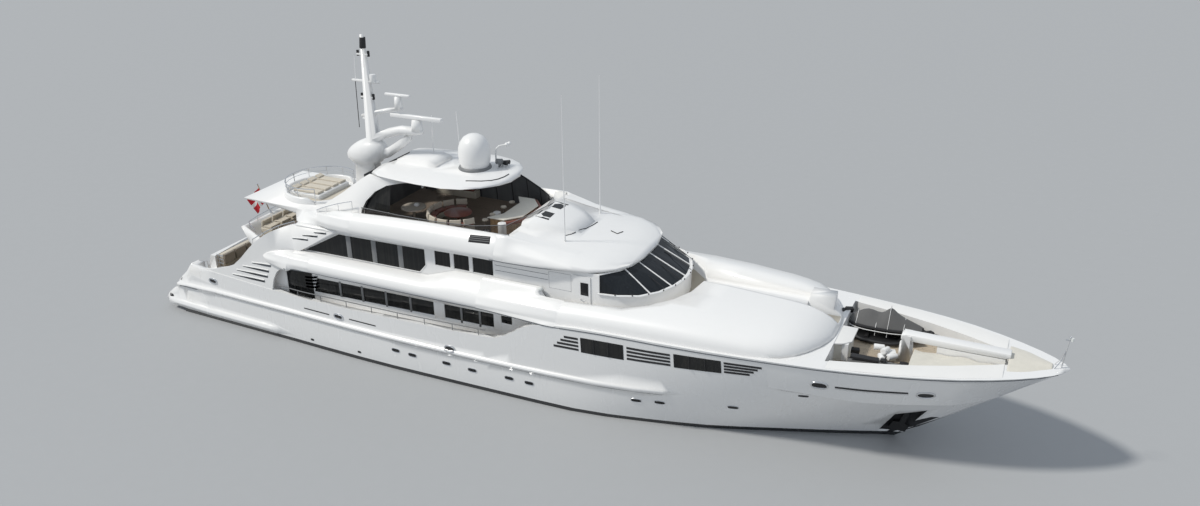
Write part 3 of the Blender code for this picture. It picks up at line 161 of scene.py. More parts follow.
class Graph:
    """The node graph of one material."""

    def __init__(self, name: str) -> None:
        """Makes an empty material with a Principled shader."""
        self.material = bpy.data.materials.new(name)
        self.material.use_nodes = True
        self.tree = self.material.node_tree
        self.tree.nodes.clear()
        self.shader = self.tree.nodes.new("ShaderNodeBsdfPrincipled")
        output = self.tree.nodes.new("ShaderNodeOutputMaterial")
        self.tree.links.new(self.shader.outputs["BSDF"], output.inputs["Surface"])

    def out(self, kind: str, settings: dict, inputs: dict, output: object = 0) -> Signal:
        """Adds any node.

        Args:
            kind: The node's type.
            settings: Its own settings, set before its sockets.
            inputs: Values or signals by socket name or number.
            output: The socket that is wanted.

        Returns:
            That socket as a signal.
        """
        node = self.tree.nodes.new(kind)
        for key, value in settings.items():
            setattr(node, key, value)
        for key, value in inputs.items():
            self.feed(node.inputs[key], value)
        return Signal(self, node.outputs[output])

    def feed(self, socket: bpy.types.NodeSocket, value: object) -> None:
        """Links a signal to a socket, or sets its value."""
        if isinstance(value, Signal):
            self.tree.links.new(value.socket, socket)
        elif isinstance(value, tuple) and len(value) == 3 and len(getattr(socket, "default_value", ())) == 4:
            socket.default_value = (*value, 1.0)
        else:
            socket.default_value = value

    def set(self, **values: object) -> None:
        """Feeds the shader's sockets, with _ for each space in their names."""
        for key, value in values.items():
            self.feed(self.shader.inputs[key.replace("_", " ")], value)

    def place(self, scale: Point = (1.0, 1.0, 1.0), turn: Point = (0.0, 0.0, 0.0)) -> Signal:
        """Object coordinates, scaled and turned."""
        here = self.out("ShaderNodeTexCoord", {}, {}, "Object")
        return self.out("ShaderNodeMapping", {}, {"Vector": here, "Scale": scale, "Rotation": turn})

    def axis(self, letter: str, source: Signal | None = None) -> Signal:
        """One coordinate of a vector, of the object's own unless another is given."""
        return self.out("ShaderNodeSeparateXYZ", {}, {0: source or self.place()}, letter)

    def noise(self, where: Signal, scale: float, detail: float = 3.0, rough: float = 0.5) -> Signal:
        """Fractal noise from 0 to 1."""
        inputs = {"Vector": where, "Scale": scale, "Detail": detail, "Roughness": rough}
        return self.out("ShaderNodeTexNoise", {}, inputs, 0)

    def mix(self, share: object, one: object, two: object) -> Signal:
        """Blends two colours."""
        inputs = {0: share, 6: one, 7: two}
        return self.out("ShaderNodeMix", {"data_type": "RGBA"}, inputs, 2)

    def relief(self, height: Signal, depth: float, strength: float = 0.5) -> None:
        """Bumps the surface by a height signal, with the depth in metres."""
        inputs = {"Height": height, "Distance": depth, "Strength": strength}
        self.set(Normal=self.out("ShaderNodeBump", {}, inputs))


# Finishes


@dataclass(frozen=True)
class Finish:
    """A finish of one colour with a soft mottle, which the other finishes build on."""

    name: str
    slot: str
    colour: Point
    roughness: float = 0.4
    metallic: float = 0.0
    coat: float = 0.0
    mottle: float = 0.06

    def shade(self, factor: float) -> Point:
        """The finish's colour, lighter or darker by a factor."""
        return tuple(c * factor for c in self.colour)

    def draw(self, graph: Graph) -> None:
        """Paints the mottle, and the roughness that goes with it."""
        cloud = graph.noise(graph.place(), 2.3, 4.0)
        graph.set(Base_Color=graph.mix(cloud, self.colour, self.shade(1 - self.mottle * 2)))
        graph.set(Roughness=self.roughness + (cloud - 0.5) * 0.12, Metallic=self.metallic)
        graph.set(Coat_Weight=self.coat, Coat_Roughness=0.08)

    def material(self) -> bpy.types.Material:
        """Makes the material, or gives the one that it made before."""
        known = bpy.data.materials.get(self.name)
        if known is not None:
            return known
        graph = Graph(self.name)
        self.draw(graph)
        return graph.material


@dataclass(frozen=True)
class Gelcoat(Finish):
    """Glossy white paint with faint vertical run marks and a fairing ripple."""

    def draw(self, graph: Graph) -> None:
        """Paints the run marks and the ripple."""
        cloud = graph.noise(graph.place(), 0.55, 3.0)
        runs = graph.noise(graph.place((3.0, 3.0, 0.25)), 2.0, 4.0)
        fine = graph.noise(graph.place(), 60.0, 2.0)
        tired = self.shade(1 - self.mottle)
        graph.set(Base_Color=graph.mix(cloud * 0.5 + runs * 0.5, self.colour, tired))
        graph.set(Roughness=self.roughness + runs * 0.1, Coat_Weight=self.coat, Coat_Roughness=0.06)
        graph.relief(cloud * 0.9 + fine * 0.02, 0.006, 0.25)


@dataclass(frozen=True)
class HullPaint(Finish):
    """White topsides over a black boot top, with dark paint below the water."""

    boot_top: float = 0.13
    waterline: float = 0.02

    def draw(self, graph: Graph) -> None:
        """Paints the three bands, greyer and streaked low down above the boot top."""
        height = graph.axis("Z")
        length = graph.axis("X")
        cloud = graph.noise(graph.place(), 0.5, 3.0)
        runs = graph.noise(graph.place((1.5, 1.5, 0.3)), 1.2, 3.0)
        tired = self.shade(1 - self.mottle)
        white = graph.mix(cloud * 0.5 + runs * 0.5, self.colour, tired)
        # the white turns greyer and bluer towards the boot top
        greyer_low = graph.mix((height + runs * 0.25).ramp(0.9, 0.15) * 0.25, white, (0.62, 0.64, 0.65))
        # the boot top rises towards the bow
        edge = height - (length - 3.0).ramp(0.0, 8.0) * 0.03
        below = (self.boot_top - edge).ramp(-0.002, 0.002)
        banded = graph.mix(below, greyer_low, (0.022, 0.023, 0.026))
        fouling = (self.waterline - height).ramp(-0.01, 0.01)
        slime = graph.mix(graph.noise(graph.place(), 9.0, 5.0), (0.03, 0.035, 0.045), (0.055, 0.06, 0.05))
        graph.set(Base_Color=graph.mix(fouling, banded, slime))
        graph.set(Roughness=self.roughness + fouling * 0.4 + runs * 0.06)
        graph.set(Coat_Weight=(1.0 - fouling) * self.coat, Coat_Roughness=0.05)
        graph.relief(cloud * 0.8 + fouling * graph.noise(graph.place(), 70.0, 2.0) * 0.4, 0.006, 0.25)


@dataclass(frozen=True)
class Planks(Finish):
    """Laid deck planks along the yacht, with dark seams, butt joints and grain."""

    width: float = 0.05
    seam: float = 0.06
    across: bool = False

    def draw(self, graph: Graph) -> None:
        """Paints planks, seams and grain."""
        turn = (0.0, 0.0, math.pi / 2) if self.across else (0.0, 0.0, 0.0)
        spot = graph.place((1.0, 1.0, 1.0), turn)
        along = graph.axis("X", spot)
        over = graph.axis("Y", spot) * (1.0 / self.width)
        row = over.floor()
        tone = graph.out("ShaderNodeTexWhiteNoise", {"noise_dimensions": "1D"}, {"W": row}, "Value")
        shifted = (along + tone * 2.0) * (1.0 / 1.1)
        butt = (shifted % 1.0 < 0.012) * 0.8
        gap = ((over % 1.0) < self.seam) * 1.0
        grain = graph.noise(graph.place((1.2, 22.0, 22.0), turn), 6.0, 5.0, 0.6)
        wood = graph.mix(tone * 0.5 + grain * 0.5, self.shade(1.14), self.shade(0.82))
        line = (gap + butt).ramp(0.3, 0.6)
        graph.set(Base_Color=graph.mix(line, wood, self.shade(0.35)))
        graph.set(Roughness=self.roughness + grain * 0.15)
        graph.relief((1.0 - line) * 1.0 + grain * 0.2, 0.0015, 0.6)


@dataclass(frozen=True)
class Cloth(Finish):
    """Woven outdoor cloth with a fine thread and soft creases."""

    thread: float = 900.0
    crease: float = 0.5

    def draw(self, graph: Graph) -> None:
        """Paints the threads and the creases."""
        spot = graph.place()
        inputs = {"Vector": spot, "Scale": self.thread * 0.16}
        warp = graph.out("ShaderNodeTexWave", {"bands_direction": "X"}, inputs)
        weft = graph.out("ShaderNodeTexWave", {"bands_direction": "Y"}, inputs)
        weave = warp * 0.5 + weft * 0.5
        crease = graph.noise(graph.place((1.0, 1.0, 0.6)), 7.0, 4.0, 0.6)
        graph.set(Base_Color=graph.mix(crease * 0.7 + weave * 0.3, self.colour, self.shade(0.8)))
        graph.set(Roughness=self.roughness, Sheen_Weight=0.25, Sheen_Roughness=0.5)
        graph.relief(weave * 0.12 + crease * self.crease, 0.006, 0.5)


@dataclass(frozen=True)
class TintedGlass(Finish):
    """Dark window glass with a hint of the curtains behind it."""

    curtain: Point = (0.032, 0.031, 0.028)
    pleats: float = 9.0

    def draw(self, graph: Graph) -> None:
        """Paints the pleats low down, and leaves the top of the pane clear."""
        pleat = graph.noise(graph.place((self.pleats, self.pleats, 0.15)), 1.6, 2.0)
        drawn = graph.noise(graph.place((0.8, 0.8, 0.0)), 1.1, 1.0)
        share = (pleat * 0.8 + drawn * 0.7 - 0.55).ramp(0.0, 0.7)
        graph.set(Base_Color=graph.mix(share, self.colour, self.curtain))
        graph.set(Roughness=self.roughness + graph.noise(graph.place(), 1.0, 2.0) * 0.02)
        graph.set(Coat_Weight=self.coat, Coat_Roughness=0.02, Specular_IOR_Level=0.28)


@dataclass(frozen=True)
class SmokedScreen(Finish):
    """See-through smoked sheet with a cloudy tint."""

    alpha: float = 0.45

    def draw(self, graph: Graph) -> None:
        """Paints the tint and its strength."""
        cloud = graph.noise(graph.place(), 1.2, 2.0)
        graph.set(Base_Color=graph.mix(cloud, self.colour, self.shade(0.7)), Specular_IOR_Level=0.5)
        graph.set(Roughness=self.roughness + cloud * 0.03, Alpha=self.alpha + cloud * 0.12)
        graph.material.surface_render_method = "BLENDED"


@dataclass(frozen=True)
class Metal(Finish):
    """Polished or cast metal with a fine brushed tone."""

    brush: float = 30.0

    def draw(self, graph: Graph) -> None:
        """Paints the brushed tone."""
        streak = graph.noise(graph.place((1.0, 1.0, 6.0)), self.brush, 3.0)
        graph.set(Base_Color=graph.mix(streak, self.colour, self.shade(0.86)), Metallic=self.metallic)
        graph.set(Roughness=self.roughness + streak * 0.12)
        graph.relief(streak, 0.0004, 0.2)


@dataclass(frozen=True)
class Varnish(Finish):
    """Varnished wood with a flowing grain."""

    def draw(self, graph: Graph) -> None:
        """Paints the grain."""
        spot = graph.place((1.0, 7.0, 7.0))
        grain = graph.noise(spot, 5.0, 6.0, 0.6)
        inputs = {"Vector": spot, "Scale": 2.0, "Distortion": 7.0, "Detail": 3.0}
        rings = graph.out("ShaderNodeTexWave", {}, inputs)
        graph.set(Base_Color=graph.mix(grain * 0.5 + rings * 0.5, self.colour, self.shade(0.45)))
        graph.set(Roughness=self.roughness + grain * 0.08, Coat_Weight=self.coat, Coat_Roughness=0.05)
        graph.relief(grain, 0.0006, 0.3)


@dataclass(frozen=True)
class EnsignCloth(Finish):
    """Red flag cloth with a plain white cross, with no arms or badge on it."""

    def draw(self, graph: Graph) -> None:
        """Paints the cross from the sheet's own UV map."""
        spot = graph.out("ShaderNodeUVMap", {"uv_map": "sheet"}, {}, 0)
        upright = ((graph.axis("X", spot) - 0.4).size() < 0.07) * 1.0
        level = ((graph.axis("Y", spot) - 0.5).size() < 0.1) * 1.0
        weave = graph.noise(graph.place(), 160.0, 2.0)
        red = graph.mix(weave, self.colour, self.shade(0.8))
        graph.set(Base_Color=graph.mix((upright + level).ramp(0.4, 0.6), red, (0.8, 0.8, 0.78)))
        graph.set(Roughness=self.roughness + weave * 0.1)
        graph.relief(weave, 0.0006, 0.3)


class Looks:
    """Every finish of the yacht."""

    HULL = HullPaint("hull_gloss", "hull_paint", (0.83, 0.83, 0.825), 0.24, coat=0.5, mottle=0.03)
    WHITE = Gelcoat("house_gloss", "deckhouse_paint", (0.85, 0.848, 0.84), 0.3, coat=0.35, mottle=0.04)
    DECK_WHITE = Finish("deck_grip", "deckhouse_paint", (0.82, 0.815, 0.8), 0.6, mottle=0.03)
    CREAM_DECK = Finish("cream_deck", "deckhouse_paint", (0.60, 0.55, 0.46), 0.6, mottle=0.05)
    TEAK = Planks("laid_teak", "varnished_wood", (0.43, 0.34, 0.235), 0.55)
    PALE_TEAK = Planks("bleached_teak", "varnished_wood", (0.50, 0.42, 0.32), 0.6)
    GLASS = TintedGlass("tinted_glass", "dark_glass", (0.010, 0.011, 0.012), 0.04)
    BRIDGE_GLASS = TintedGlass(
        "bridge_tint", "dark_glass", (0.012, 0.015, 0.019), 0.03, curtain=(0.022, 0.026, 0.03),
    )
    SCREEN = SmokedScreen("smoked_screen", "dark_glass", (0.05, 0.045, 0.042), 0.03)
    STEEL = Metal("bright_steel", "steel", (0.74, 0.75, 0.77), 0.14, metallic=1.0)
    # near black: painted shade, so that the anchors sit dark in their shaded pockets; the rudders' anodes use
    # it too
    CAST = Metal("anchor_steel", "steel", (0.014, 0.014, 0.015), 0.7)
    BRONZE = Metal("cast_bronze", "bronze", (0.55, 0.36, 0.17), 0.28, metallic=1.0)
    FRAME_GREY = Finish("frame_grey", "deckhouse_paint", (0.2, 0.205, 0.21), 0.4, mottle=0.05)
    BLACK = Finish("black_rubber", "dark_glass", (0.018, 0.018, 0.02), 0.6, mottle=0.1)
    # dark grey for painted shade: lines that stand for the shade in grooves, under the rub rail, under the
    # louvre lips and along joints
    SHADOW = Finish("seam_grey", "hull_paint", (0.11, 0.12, 0.135), 0.6, mottle=0.05)
    CUSHION = Cloth("cream_cloth", "cushion_cloth", (0.66, 0.60, 0.50), 0.85)
    SAND = Cloth("sand_cloth", "cushion_cloth", (0.45, 0.40, 0.33), 0.85)
    RUST = Cloth("rust_cloth", "cushion_cloth", (0.23, 0.07, 0.045), 0.8)
    COVER = Cloth("cover_cloth", "boat_cover", (0.115, 0.115, 0.115), 0.75, thread=500.0, crease=0.9)
    PALE_COVER = Cloth("pale_cover", "boat_cover", (0.74, 0.71, 0.63), 0.8, thread=500.0, crease=0.9)
    # pale grey-green slats, made lighter than their own colour to make up for the belt's shade over them:
    # partly painted light
    BLIND = Finish("blind_slat", "dark_glass", (0.75, 0.8, 0.8), 0.5, mottle=0.04)
    OAK = Varnish("varnished_oak", "varnished_wood", (0.42, 0.27, 0.14), 0.3, coat=0.5)
    ENSIGN = EnsignCloth("ensign_cloth", "cushion_cloth", (0.55, 0.02, 0.03), 0.8)
    SMOKE = TintedGlass(
        "smoked_wall", "dark_glass", (0.1, 0.105, 0.11), 0.12, curtain=(0.2, 0.205, 0.205), pleats=1.5,
    )
    # dark teak: painted shade for the lounge floor under the hardtop
    DIM_TEAK = Planks("shaded_teak", "varnished_wood", (0.2, 0.16, 0.125), 0.5)
    # a slightly darker copy of the deck white for the well's inward faces: painted shade
    WELL_WHITE = Finish("well_white", "deckhouse_paint", (0.8, 0.795, 0.775), 0.7, mottle=0.04)
    # dark brown: painted shade on the aft sofa's back cushions
    BROWN = Cloth("brown_cloth", "cushion_cloth", (0.26, 0.225, 0.18), 0.9)
    LAMP = Finish("lamp_lens", "dark_glass", (0.75, 0.77, 0.75), 0.1, coat=0.8, mottle=0.02)


# Modelling


def pick(*pieces: bpy.types.Object) -> None:
    """Closes any open mesh and selects these pieces only, with the last one active."""
    if bpy.context.mode != "OBJECT":
        bpy.ops.object.mode_set(mode="OBJECT")
    bpy.ops.object.select_all(action="DESELECT")
    for piece in pieces:
        piece.select_set(True)
        bpy.context.view_layer.objects.active = piece


def modify(piece: bpy.types.Object, kind: str, **settings: object) -> None:
    """Gives the active piece a modifier with these settings, and applies it."""
    modifier = piece.modifiers.new(kind, kind)
    for key, value in settings.items():
        setattr(modifier, key, value)
    bpy.ops.object.modifier_apply(modifier=modifier.name)


class Bench:
    """Models one piece at a time with the editor's own operators, in full-size metres."""

    def __init__(self, name: str, side: Side | None = None) -> None:
        """Opens an empty mesh in edit mode, named after its side where it has one."""
        self.name = name if side is None else f"{name}_{side.word}"
        self.extra: list[bpy.types.Object] = []
        pick()
        bpy.ops.mesh.primitive_plane_add(size=0.1)
        self.piece = bpy.context.object
        self.piece.name = self.piece.data.name = self.name
        bpy.ops.object.mode_set(mode="EDIT")
        bpy.ops.mesh.select_all(action="SELECT")
        bpy.ops.mesh.delete(type="VERT")

    def enter(self) -> None:
        """Opens this piece's mesh again where another piece was worked on in between."""
        if bpy.context.object is self.piece and bpy.context.mode == "EDIT_MESH":
            return
        pick(self.piece)
        bpy.ops.object.mode_set(mode="EDIT")

    def box(self, centre: Point, size: Point, turn: Point = (0.0, 0.0, 0.0)) -> None:
        """Adds a box by its centre, its size and its turn in radians."""
        self.enter()
        bpy.ops.mesh.primitive_cube_add(size=1.0, location=half(centre), rotation=turn, scale=half(size))

    def rod(self, start: Point, end: Point, radius: float, tip: float | None = None, sides: int = 10) -> None:
        """Adds a straight round rod.

        Args:
            start: Its first end.
            end: Its other end.
            radius: Its radius at the start.
            tip: Its radius at the end, where that differs.
            sides: How many sides it has.
        """
        self.enter()
        a, b = half(start), half(end)
        along = b - a
        turn = along.to_track_quat("Z", "Y").to_euler()
        bpy.ops.mesh.primitive_cone_add(
            vertices=sides,
            radius1=radius * MODEL_SCALE,
            radius2=(radius if tip is None else tip) * MODEL_SCALE,
            depth=along.length,
            location=(a + b) / 2,
            rotation=turn,
        )

    def ball(self, centre: Point, radius: float, squash: Point = (1.0, 1.0, 1.0), fine: int = 12) -> None:
        """Adds a ball or an ellipsoid."""
        self.enter()
        bpy.ops.mesh.primitive_uv_sphere_add(
            segments=fine,
            ring_count=fine // 2,
            radius=radius * MODEL_SCALE,
            location=half(centre),
            scale=squash,
        )

    def face(self, points: Sequence[Point]) -> None:
        """Adds one face through points, and leaves only that selected."""
        self.enter()
        bpy.ops.mesh.select_all(action="DESELECT")
        bpy.ops.mesh.primitive_circle_add(vertices=len(points), radius=1.0, fill_type="NGON")
        mesh = bmesh.from_edit_mesh(self.piece.data)
        face = next(f for f in mesh.faces if f.select)
        for loop, point in zip(face.loops, points):
            loop.vert.co = half(point)
        bmesh.update_edit_mesh(self.piece.data)

    def patch(self, points: Sequence[Point]) -> None:
        """Adds a thin plate over a ring of points."""
        self.face(points)
        bpy.ops.mesh.solidify(thickness=0.01)
        bpy.ops.mesh.normals_make_consistent(inside=False)

    def slab(self, outline: Sequence[Flat], low: float, high: float, shrink: float = 0.0) -> None:
        """Adds a flat slab of any outline, extruded upwards.

        Args:
            outline: Its corners in X and Y, in order.
            low: Its underside.
            high: Its top.
            shrink: How far the top edge is drawn in.
        """
        self.face([(x, y, low) for x, y in outline])
        bpy.ops.mesh.extrude_region_move(
            TRANSFORM_OT_translate={"value": (0.0, 0.0, (high - low) * MODEL_SCALE)},
        )
        if shrink:
            bpy.ops.mesh.bevel(offset=shrink * MODEL_SCALE, segments=2)
        bpy.ops.mesh.select_all(action="SELECT")
        bpy.ops.mesh.normals_make_consistent(inside=False)

    def sheet(self, rows: Sequence[Sequence[Point]], thick: float = 0.0) -> None:
        """Adds a surface over rows of points.

        Args:
            rows: Rows of the same number of points.
            thick: How far it is thickened along its normals.
        """
        self.enter()
        bpy.ops.mesh.select_all(action="DESELECT")
        tall, wide = len(rows), len(rows[0])
        bpy.ops.mesh.primitive_grid_add(x_subdivisions=wide - 1, y_subdivisions=tall - 1, size=1.0)
        mesh = bmesh.from_edit_mesh(self.piece.data)
        fresh = [v for v in mesh.verts if v.select]
        fresh.sort(key=lambda v: (round(v.co.y, 5), round(v.co.x, 5)))
        for k, vert in enumerate(fresh):
            vert.co = half(rows[k // wide][k % wide])
        bmesh.update_edit_mesh(self.piece.data)
        if thick:
            bpy.ops.mesh.solidify(thickness=thick * MODEL_SCALE)
            bpy.ops.mesh.normals_make_consistent(inside=False)

    def tube(self, points: Sequence[Point], radius: float, closed: bool = False, fine: int = 2) -> None:
        """Adds a bent tube through points, as a curve that is turned into a mesh.

        Args:
            points: Where it runs.
            radius: Its radius.
            closed: Whether it runs back to its start.
            fine: The curve's roundness.
        """
        pick()
        bpy.ops.curve.primitive_nurbs_path_add(location=(0.0, 0.0, 0.0))
        made = bpy.context.object
        curve = made.data
        curve.splines.clear()
        spline = curve.splines.new("POLY")
        spline.points.add(len(points) - 1)
        for spot, point in zip(spline.points, points):
            spot.co = (*half(point), 1.0)
        spline.use_cyclic_u = closed
        curve.dimensions = "3D"
        curve.bevel_depth = radius * MODEL_SCALE
        curve.bevel_resolution = fine
        curve.use_fill_caps = True
        bpy.ops.object.convert(target="MESH")
        self.extra.append(bpy.context.object)

    def done(
        self,
        finish: Finish,
        body: str = "yacht",
        bevel: float = 0.0,
        smooth: float = 35.0,
        rounds: int = 0,
    ) -> bpy.types.Object:
        """Closes the piece: joins its tubes, bevels, smooths, paints and hangs it on its body.

        Args:
            finish: Its finish.
            body: The body that it rides on.
            bevel: The radius of its edges.
            smooth: The angle under which its faces shade as one.
            rounds: Levels of subdivision.

        Returns:
            The finished piece.
        """
        pick(*self.extra, self.piece)
        if self.extra:
            bpy.ops.object.join()
        if bevel:
            modify(self.piece, "BEVEL", width=bevel * MODEL_SCALE, segments=2, limit_method="ANGLE")
        if rounds:
            modify(self.piece, "SUBSURF", levels=rounds, render_levels=rounds)
        bpy.ops.object.transform_apply(location=True, rotation=True, scale=True)
        bpy.ops.object.shade_smooth_by_angle(angle=math.radians(smooth))
        paint(self.piece, finish)
        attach(self.piece, body)
        LOG.info("piece %s: %d faces", self.name, len(self.piece.data.polygons))
        return self.piece


def paint(piece: bpy.types.Object, *finishes: Finish) -> None:
    """Gives a piece its finishes in place of any that it has."""
    piece.data.materials.clear()
    for finish in finishes:
        piece.data.materials.append(finish.material())


@dataclass
class Solids:
    """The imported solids, to measure from and to copy."""

    nodes: dict
    _trees: dict = field(default_factory=dict)

    def tree(self, node: str) -> BVHTree:
        """A search tree over one solid."""
        if node not in self._trees:
            mesh = bmesh.new()
            mesh.from_mesh(self.nodes[node].data)
            self._trees[node] = BVHTree.FromBMesh(mesh)
            mesh.free()
        return self._trees[node]

    def side(self, node: str, x: float, z: float, side: Side, proud: float = 0.0) -> Point:
        """The point where a level line from outboard meets a solid.

        Args:
            node: The solid.
            x: Where along the yacht.
            z: The height.
            side: The side that the line comes from.
            proud: How far the point is moved outwards along the surface's normal.

        Returns:
            The point in full-size metres.
        """
        start = half((x, side.value * CLEAR_OF_SIDE, z))
        spot, normal, _, _ = self.tree(node).ray_cast(start, Vector((0.0, -side.value, 0.0)))
        if spot is None:
            spot, normal, _, _ = self.tree(node).find_nearest(half((x, side.value * 4.0, z)))
        if normal.y * side.value < 0:
            normal = -normal
        return tuple((spot + normal * proud * MODEL_SCALE) / MODEL_SCALE)

    def top(self, node: str, x: float, y: float, proud: float = 0.0, start: float = 40.0) -> Point:
        """The point where a plumb line meets a solid from above."""
        spot, normal, _, _ = self.tree(node).ray_cast(half((x, y, start)), Vector((0.0, 0.0, -1.0)))
        if spot is None:
            spot, normal, _, _ = self.tree(node).find_nearest(half((x, y, 9.0)))
        return tuple((spot + normal * proud * MODEL_SCALE) / MODEL_SCALE)

    def skin(
        self, node: str, finish: Finish, smooth: float = 35.0, round_off: float = 0.0,
    ) -> bpy.types.Object:
        """Copies a solid as a smooth-shaded skin that stands for it.

        Args:
            node: The solid.
            finish: The skin's finish.
            smooth: The angle under which its faces shade as one.
            round_off: How far its edges are rounded.

        Returns:
            The skin, hung on the solid's own body.
        """
        source = self.nodes[node]
        piece = bpy.data.objects.new(node + "_skin", source.data.copy())
        piece.data.name = piece.name
        bpy.context.scene.collection.objects.link(piece)
        pick(piece)
        bpy.ops.object.mode_set(mode="EDIT")
        bpy.ops.mesh.select_all(action="SELECT")
        bpy.ops.mesh.remove_doubles(threshold=WELD)
        bpy.ops.object.mode_set(mode="OBJECT")
        if round_off:
            modify(piece, "BEVEL", width=round_off * MODEL_SCALE, segments=3)
        bpy.ops.object.shade_smooth_by_angle(angle=math.radians(smooth))
        paint(piece, finish)
        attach(piece, source["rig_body"])
        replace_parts(piece, node)
        LOG.info("skin %s: %d faces", node, len(piece.data.polygons))
        return piece


def repaint(piece: bpy.types.Object, finish: Finish, rule: Callable[[Vector, Vector], bool]) -> None:
    """Gives another finish to the faces that a rule picks.

    Args:
        piece: The piece.
        finish: The other finish.
        rule: Takes a face's centre, in full-size metres, and its normal.
    """
    slot = len(piece.data.materials)
    piece.data.materials.append(finish.material())
    for face in piece.data.polygons:
        if rule(face.center / MODEL_SCALE, face.normal):
            face.material_index = slot


# Soft goods


@dataclass
class Upholstery:
    """Cushions that are filled by a short cloth run, then copied wherever they repeat."""

    fill: float = 0.6
    masters: dict = field(default_factory=dict)

    def master(self, size: Point) -> bpy.types.Mesh:
        """Fills one cushion of a size, or gives the one that it filled before."""
        if size in self.masters:
            return self.masters[size]
        bench = Bench("cushion_master")
        bench.box((0.0, 0.0, 0.0), tuple(s * 0.93 for s in size))
        bpy.ops.mesh.subdivide(number_cuts=3)
        bpy.ops.object.mode_set(mode="OBJECT")
        piece = bench.piece
        modify(piece, "REMESH", mode="VOXEL", voxel_size=max(min(size) * MODEL_SCALE / 5.0, 0.011))
        before = [v.co.copy() for v in piece.data.vertices]
        swell = piece.modifiers.new("fill", "CLOTH")
        swell.settings.use_pressure = True
        swell.settings.uniform_pressure_force = 3.0 + 3.0 * self.fill
        swell.settings.effector_weights.gravity = 0.0
        swell.settings.quality = 4
        scene = bpy.context.scene
        for frame in range(1, 13):
            scene.frame_set(frame)
        bpy.ops.object.modifier_apply(modifier="fill")
        scene.frame_set(1)
        cap = min(size) * MODEL_SCALE * 0.16
        reach = [s * MODEL_SCALE / 2 for s in size]
        for vert, start in zip(piece.data.vertices, before):
            step = vert.co - start
            if step.length > cap:
                vert.co = start + step.normalized() * cap
            near = max(abs(vert.co.x) / reach[0], abs(vert.co.y) / reach[1])
            vert.co.z *= 1.0 + 0.14 * (1.0 - near**2)
            for k in range(3):
                vert.co[k] = max(-reach[k] * 1.1, min(reach[k] * 1.1, vert.co[k]))
        modify(piece, "SUBSURF", levels=1, render_levels=1)
        mesh = piece.data.copy()
        bpy.data.objects.remove(piece)
        self.masters[size] = mesh
        return mesh

    def cushion(
        self, name: str, centre: Point, size: Point, cloth: Finish, turn: Point = (0.0, 0.0, 0.0),
    ) -> None:
        """Lays one cushion in place.

        Args:
            name: Its name.
            centre: Its middle.
            size: Its length, width and thickness.
            cloth: Its finish.
            turn: Its turn about X, Y and Z.
        """
        piece = bpy.data.objects.new(name, self.master(size).copy())
        piece.data.name = name
        bpy.context.scene.collection.objects.link(piece)
        about_x, about_y, about_z = (Matrix.Rotation(angle, 4, axis) for angle, axis in zip(turn, "XYZ"))
        piece.data.transform(Matrix.Translation(half(centre)) @ about_z @ about_y @ about_x)
        pick(piece)
        bpy.ops.object.shade_smooth()
        paint(piece, cloth)
        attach(piece, "yacht")


# Sub-assemblies


def spread(low: float, high: float, count: int) -> list[float]:
    """Even steps from low to high, both kept."""
    return [low + (high - low) * k / (count - 1) for k in range(count)]


def along(points: Sequence[Flat], x: float) -> float:
    """Reads a value between (x, value) pairs along straight lines."""
    for (x0, y0), (x1, y1) in zip(points, points[1:]):
        if x <= x1:
            return y0 + (y1 - y0) * max(0.0, (x - x0) / (x1 - x0))
    return points[-1][1]


def strip(
    bench: Bench,
    solids: Solids,
    node: str,
    side: Side,
    low: Sequence[Flat],
    high: Sequence[Flat],
    proud: float = 0.012,
) -> None:
    """Lays a thin band on a solid's side.

    Args:
        bench: The piece that it joins.
        solids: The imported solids.
        node: The solid that carries it.
        side: The side of the yacht.
        low: Its lower edge in X and Z.
        high: Its upper edge, with as many points.
        proud: How far it stands off the solid.
    """
    grid = []
    for share in (0.0, 0.5, 1.0):
        row = []
        for (x0, z0), (x1, z1) in zip(low, high):
            row.append(solids.side(node, x0 + (x1 - x0) * share, z0 + (z1 - z0) * share, side, proud))
        grid.append(row)
    bench.sheet(grid, 0.02)


def oval(x: float, z: float, wide: float, tall: float, count: int = 16, power: float = 0.6) -> list[Flat]:
    """Points round a rounded oblong in X and Z."""
    spots = []
    for k in range(count):
        a = 2 * math.pi * k / count
        c, s = (math.copysign(abs(v) ** power, v) for v in (math.cos(a), math.sin(a)))
        spots.append((x + wide / 2 * c, z + tall / 2 * s))
    return spots


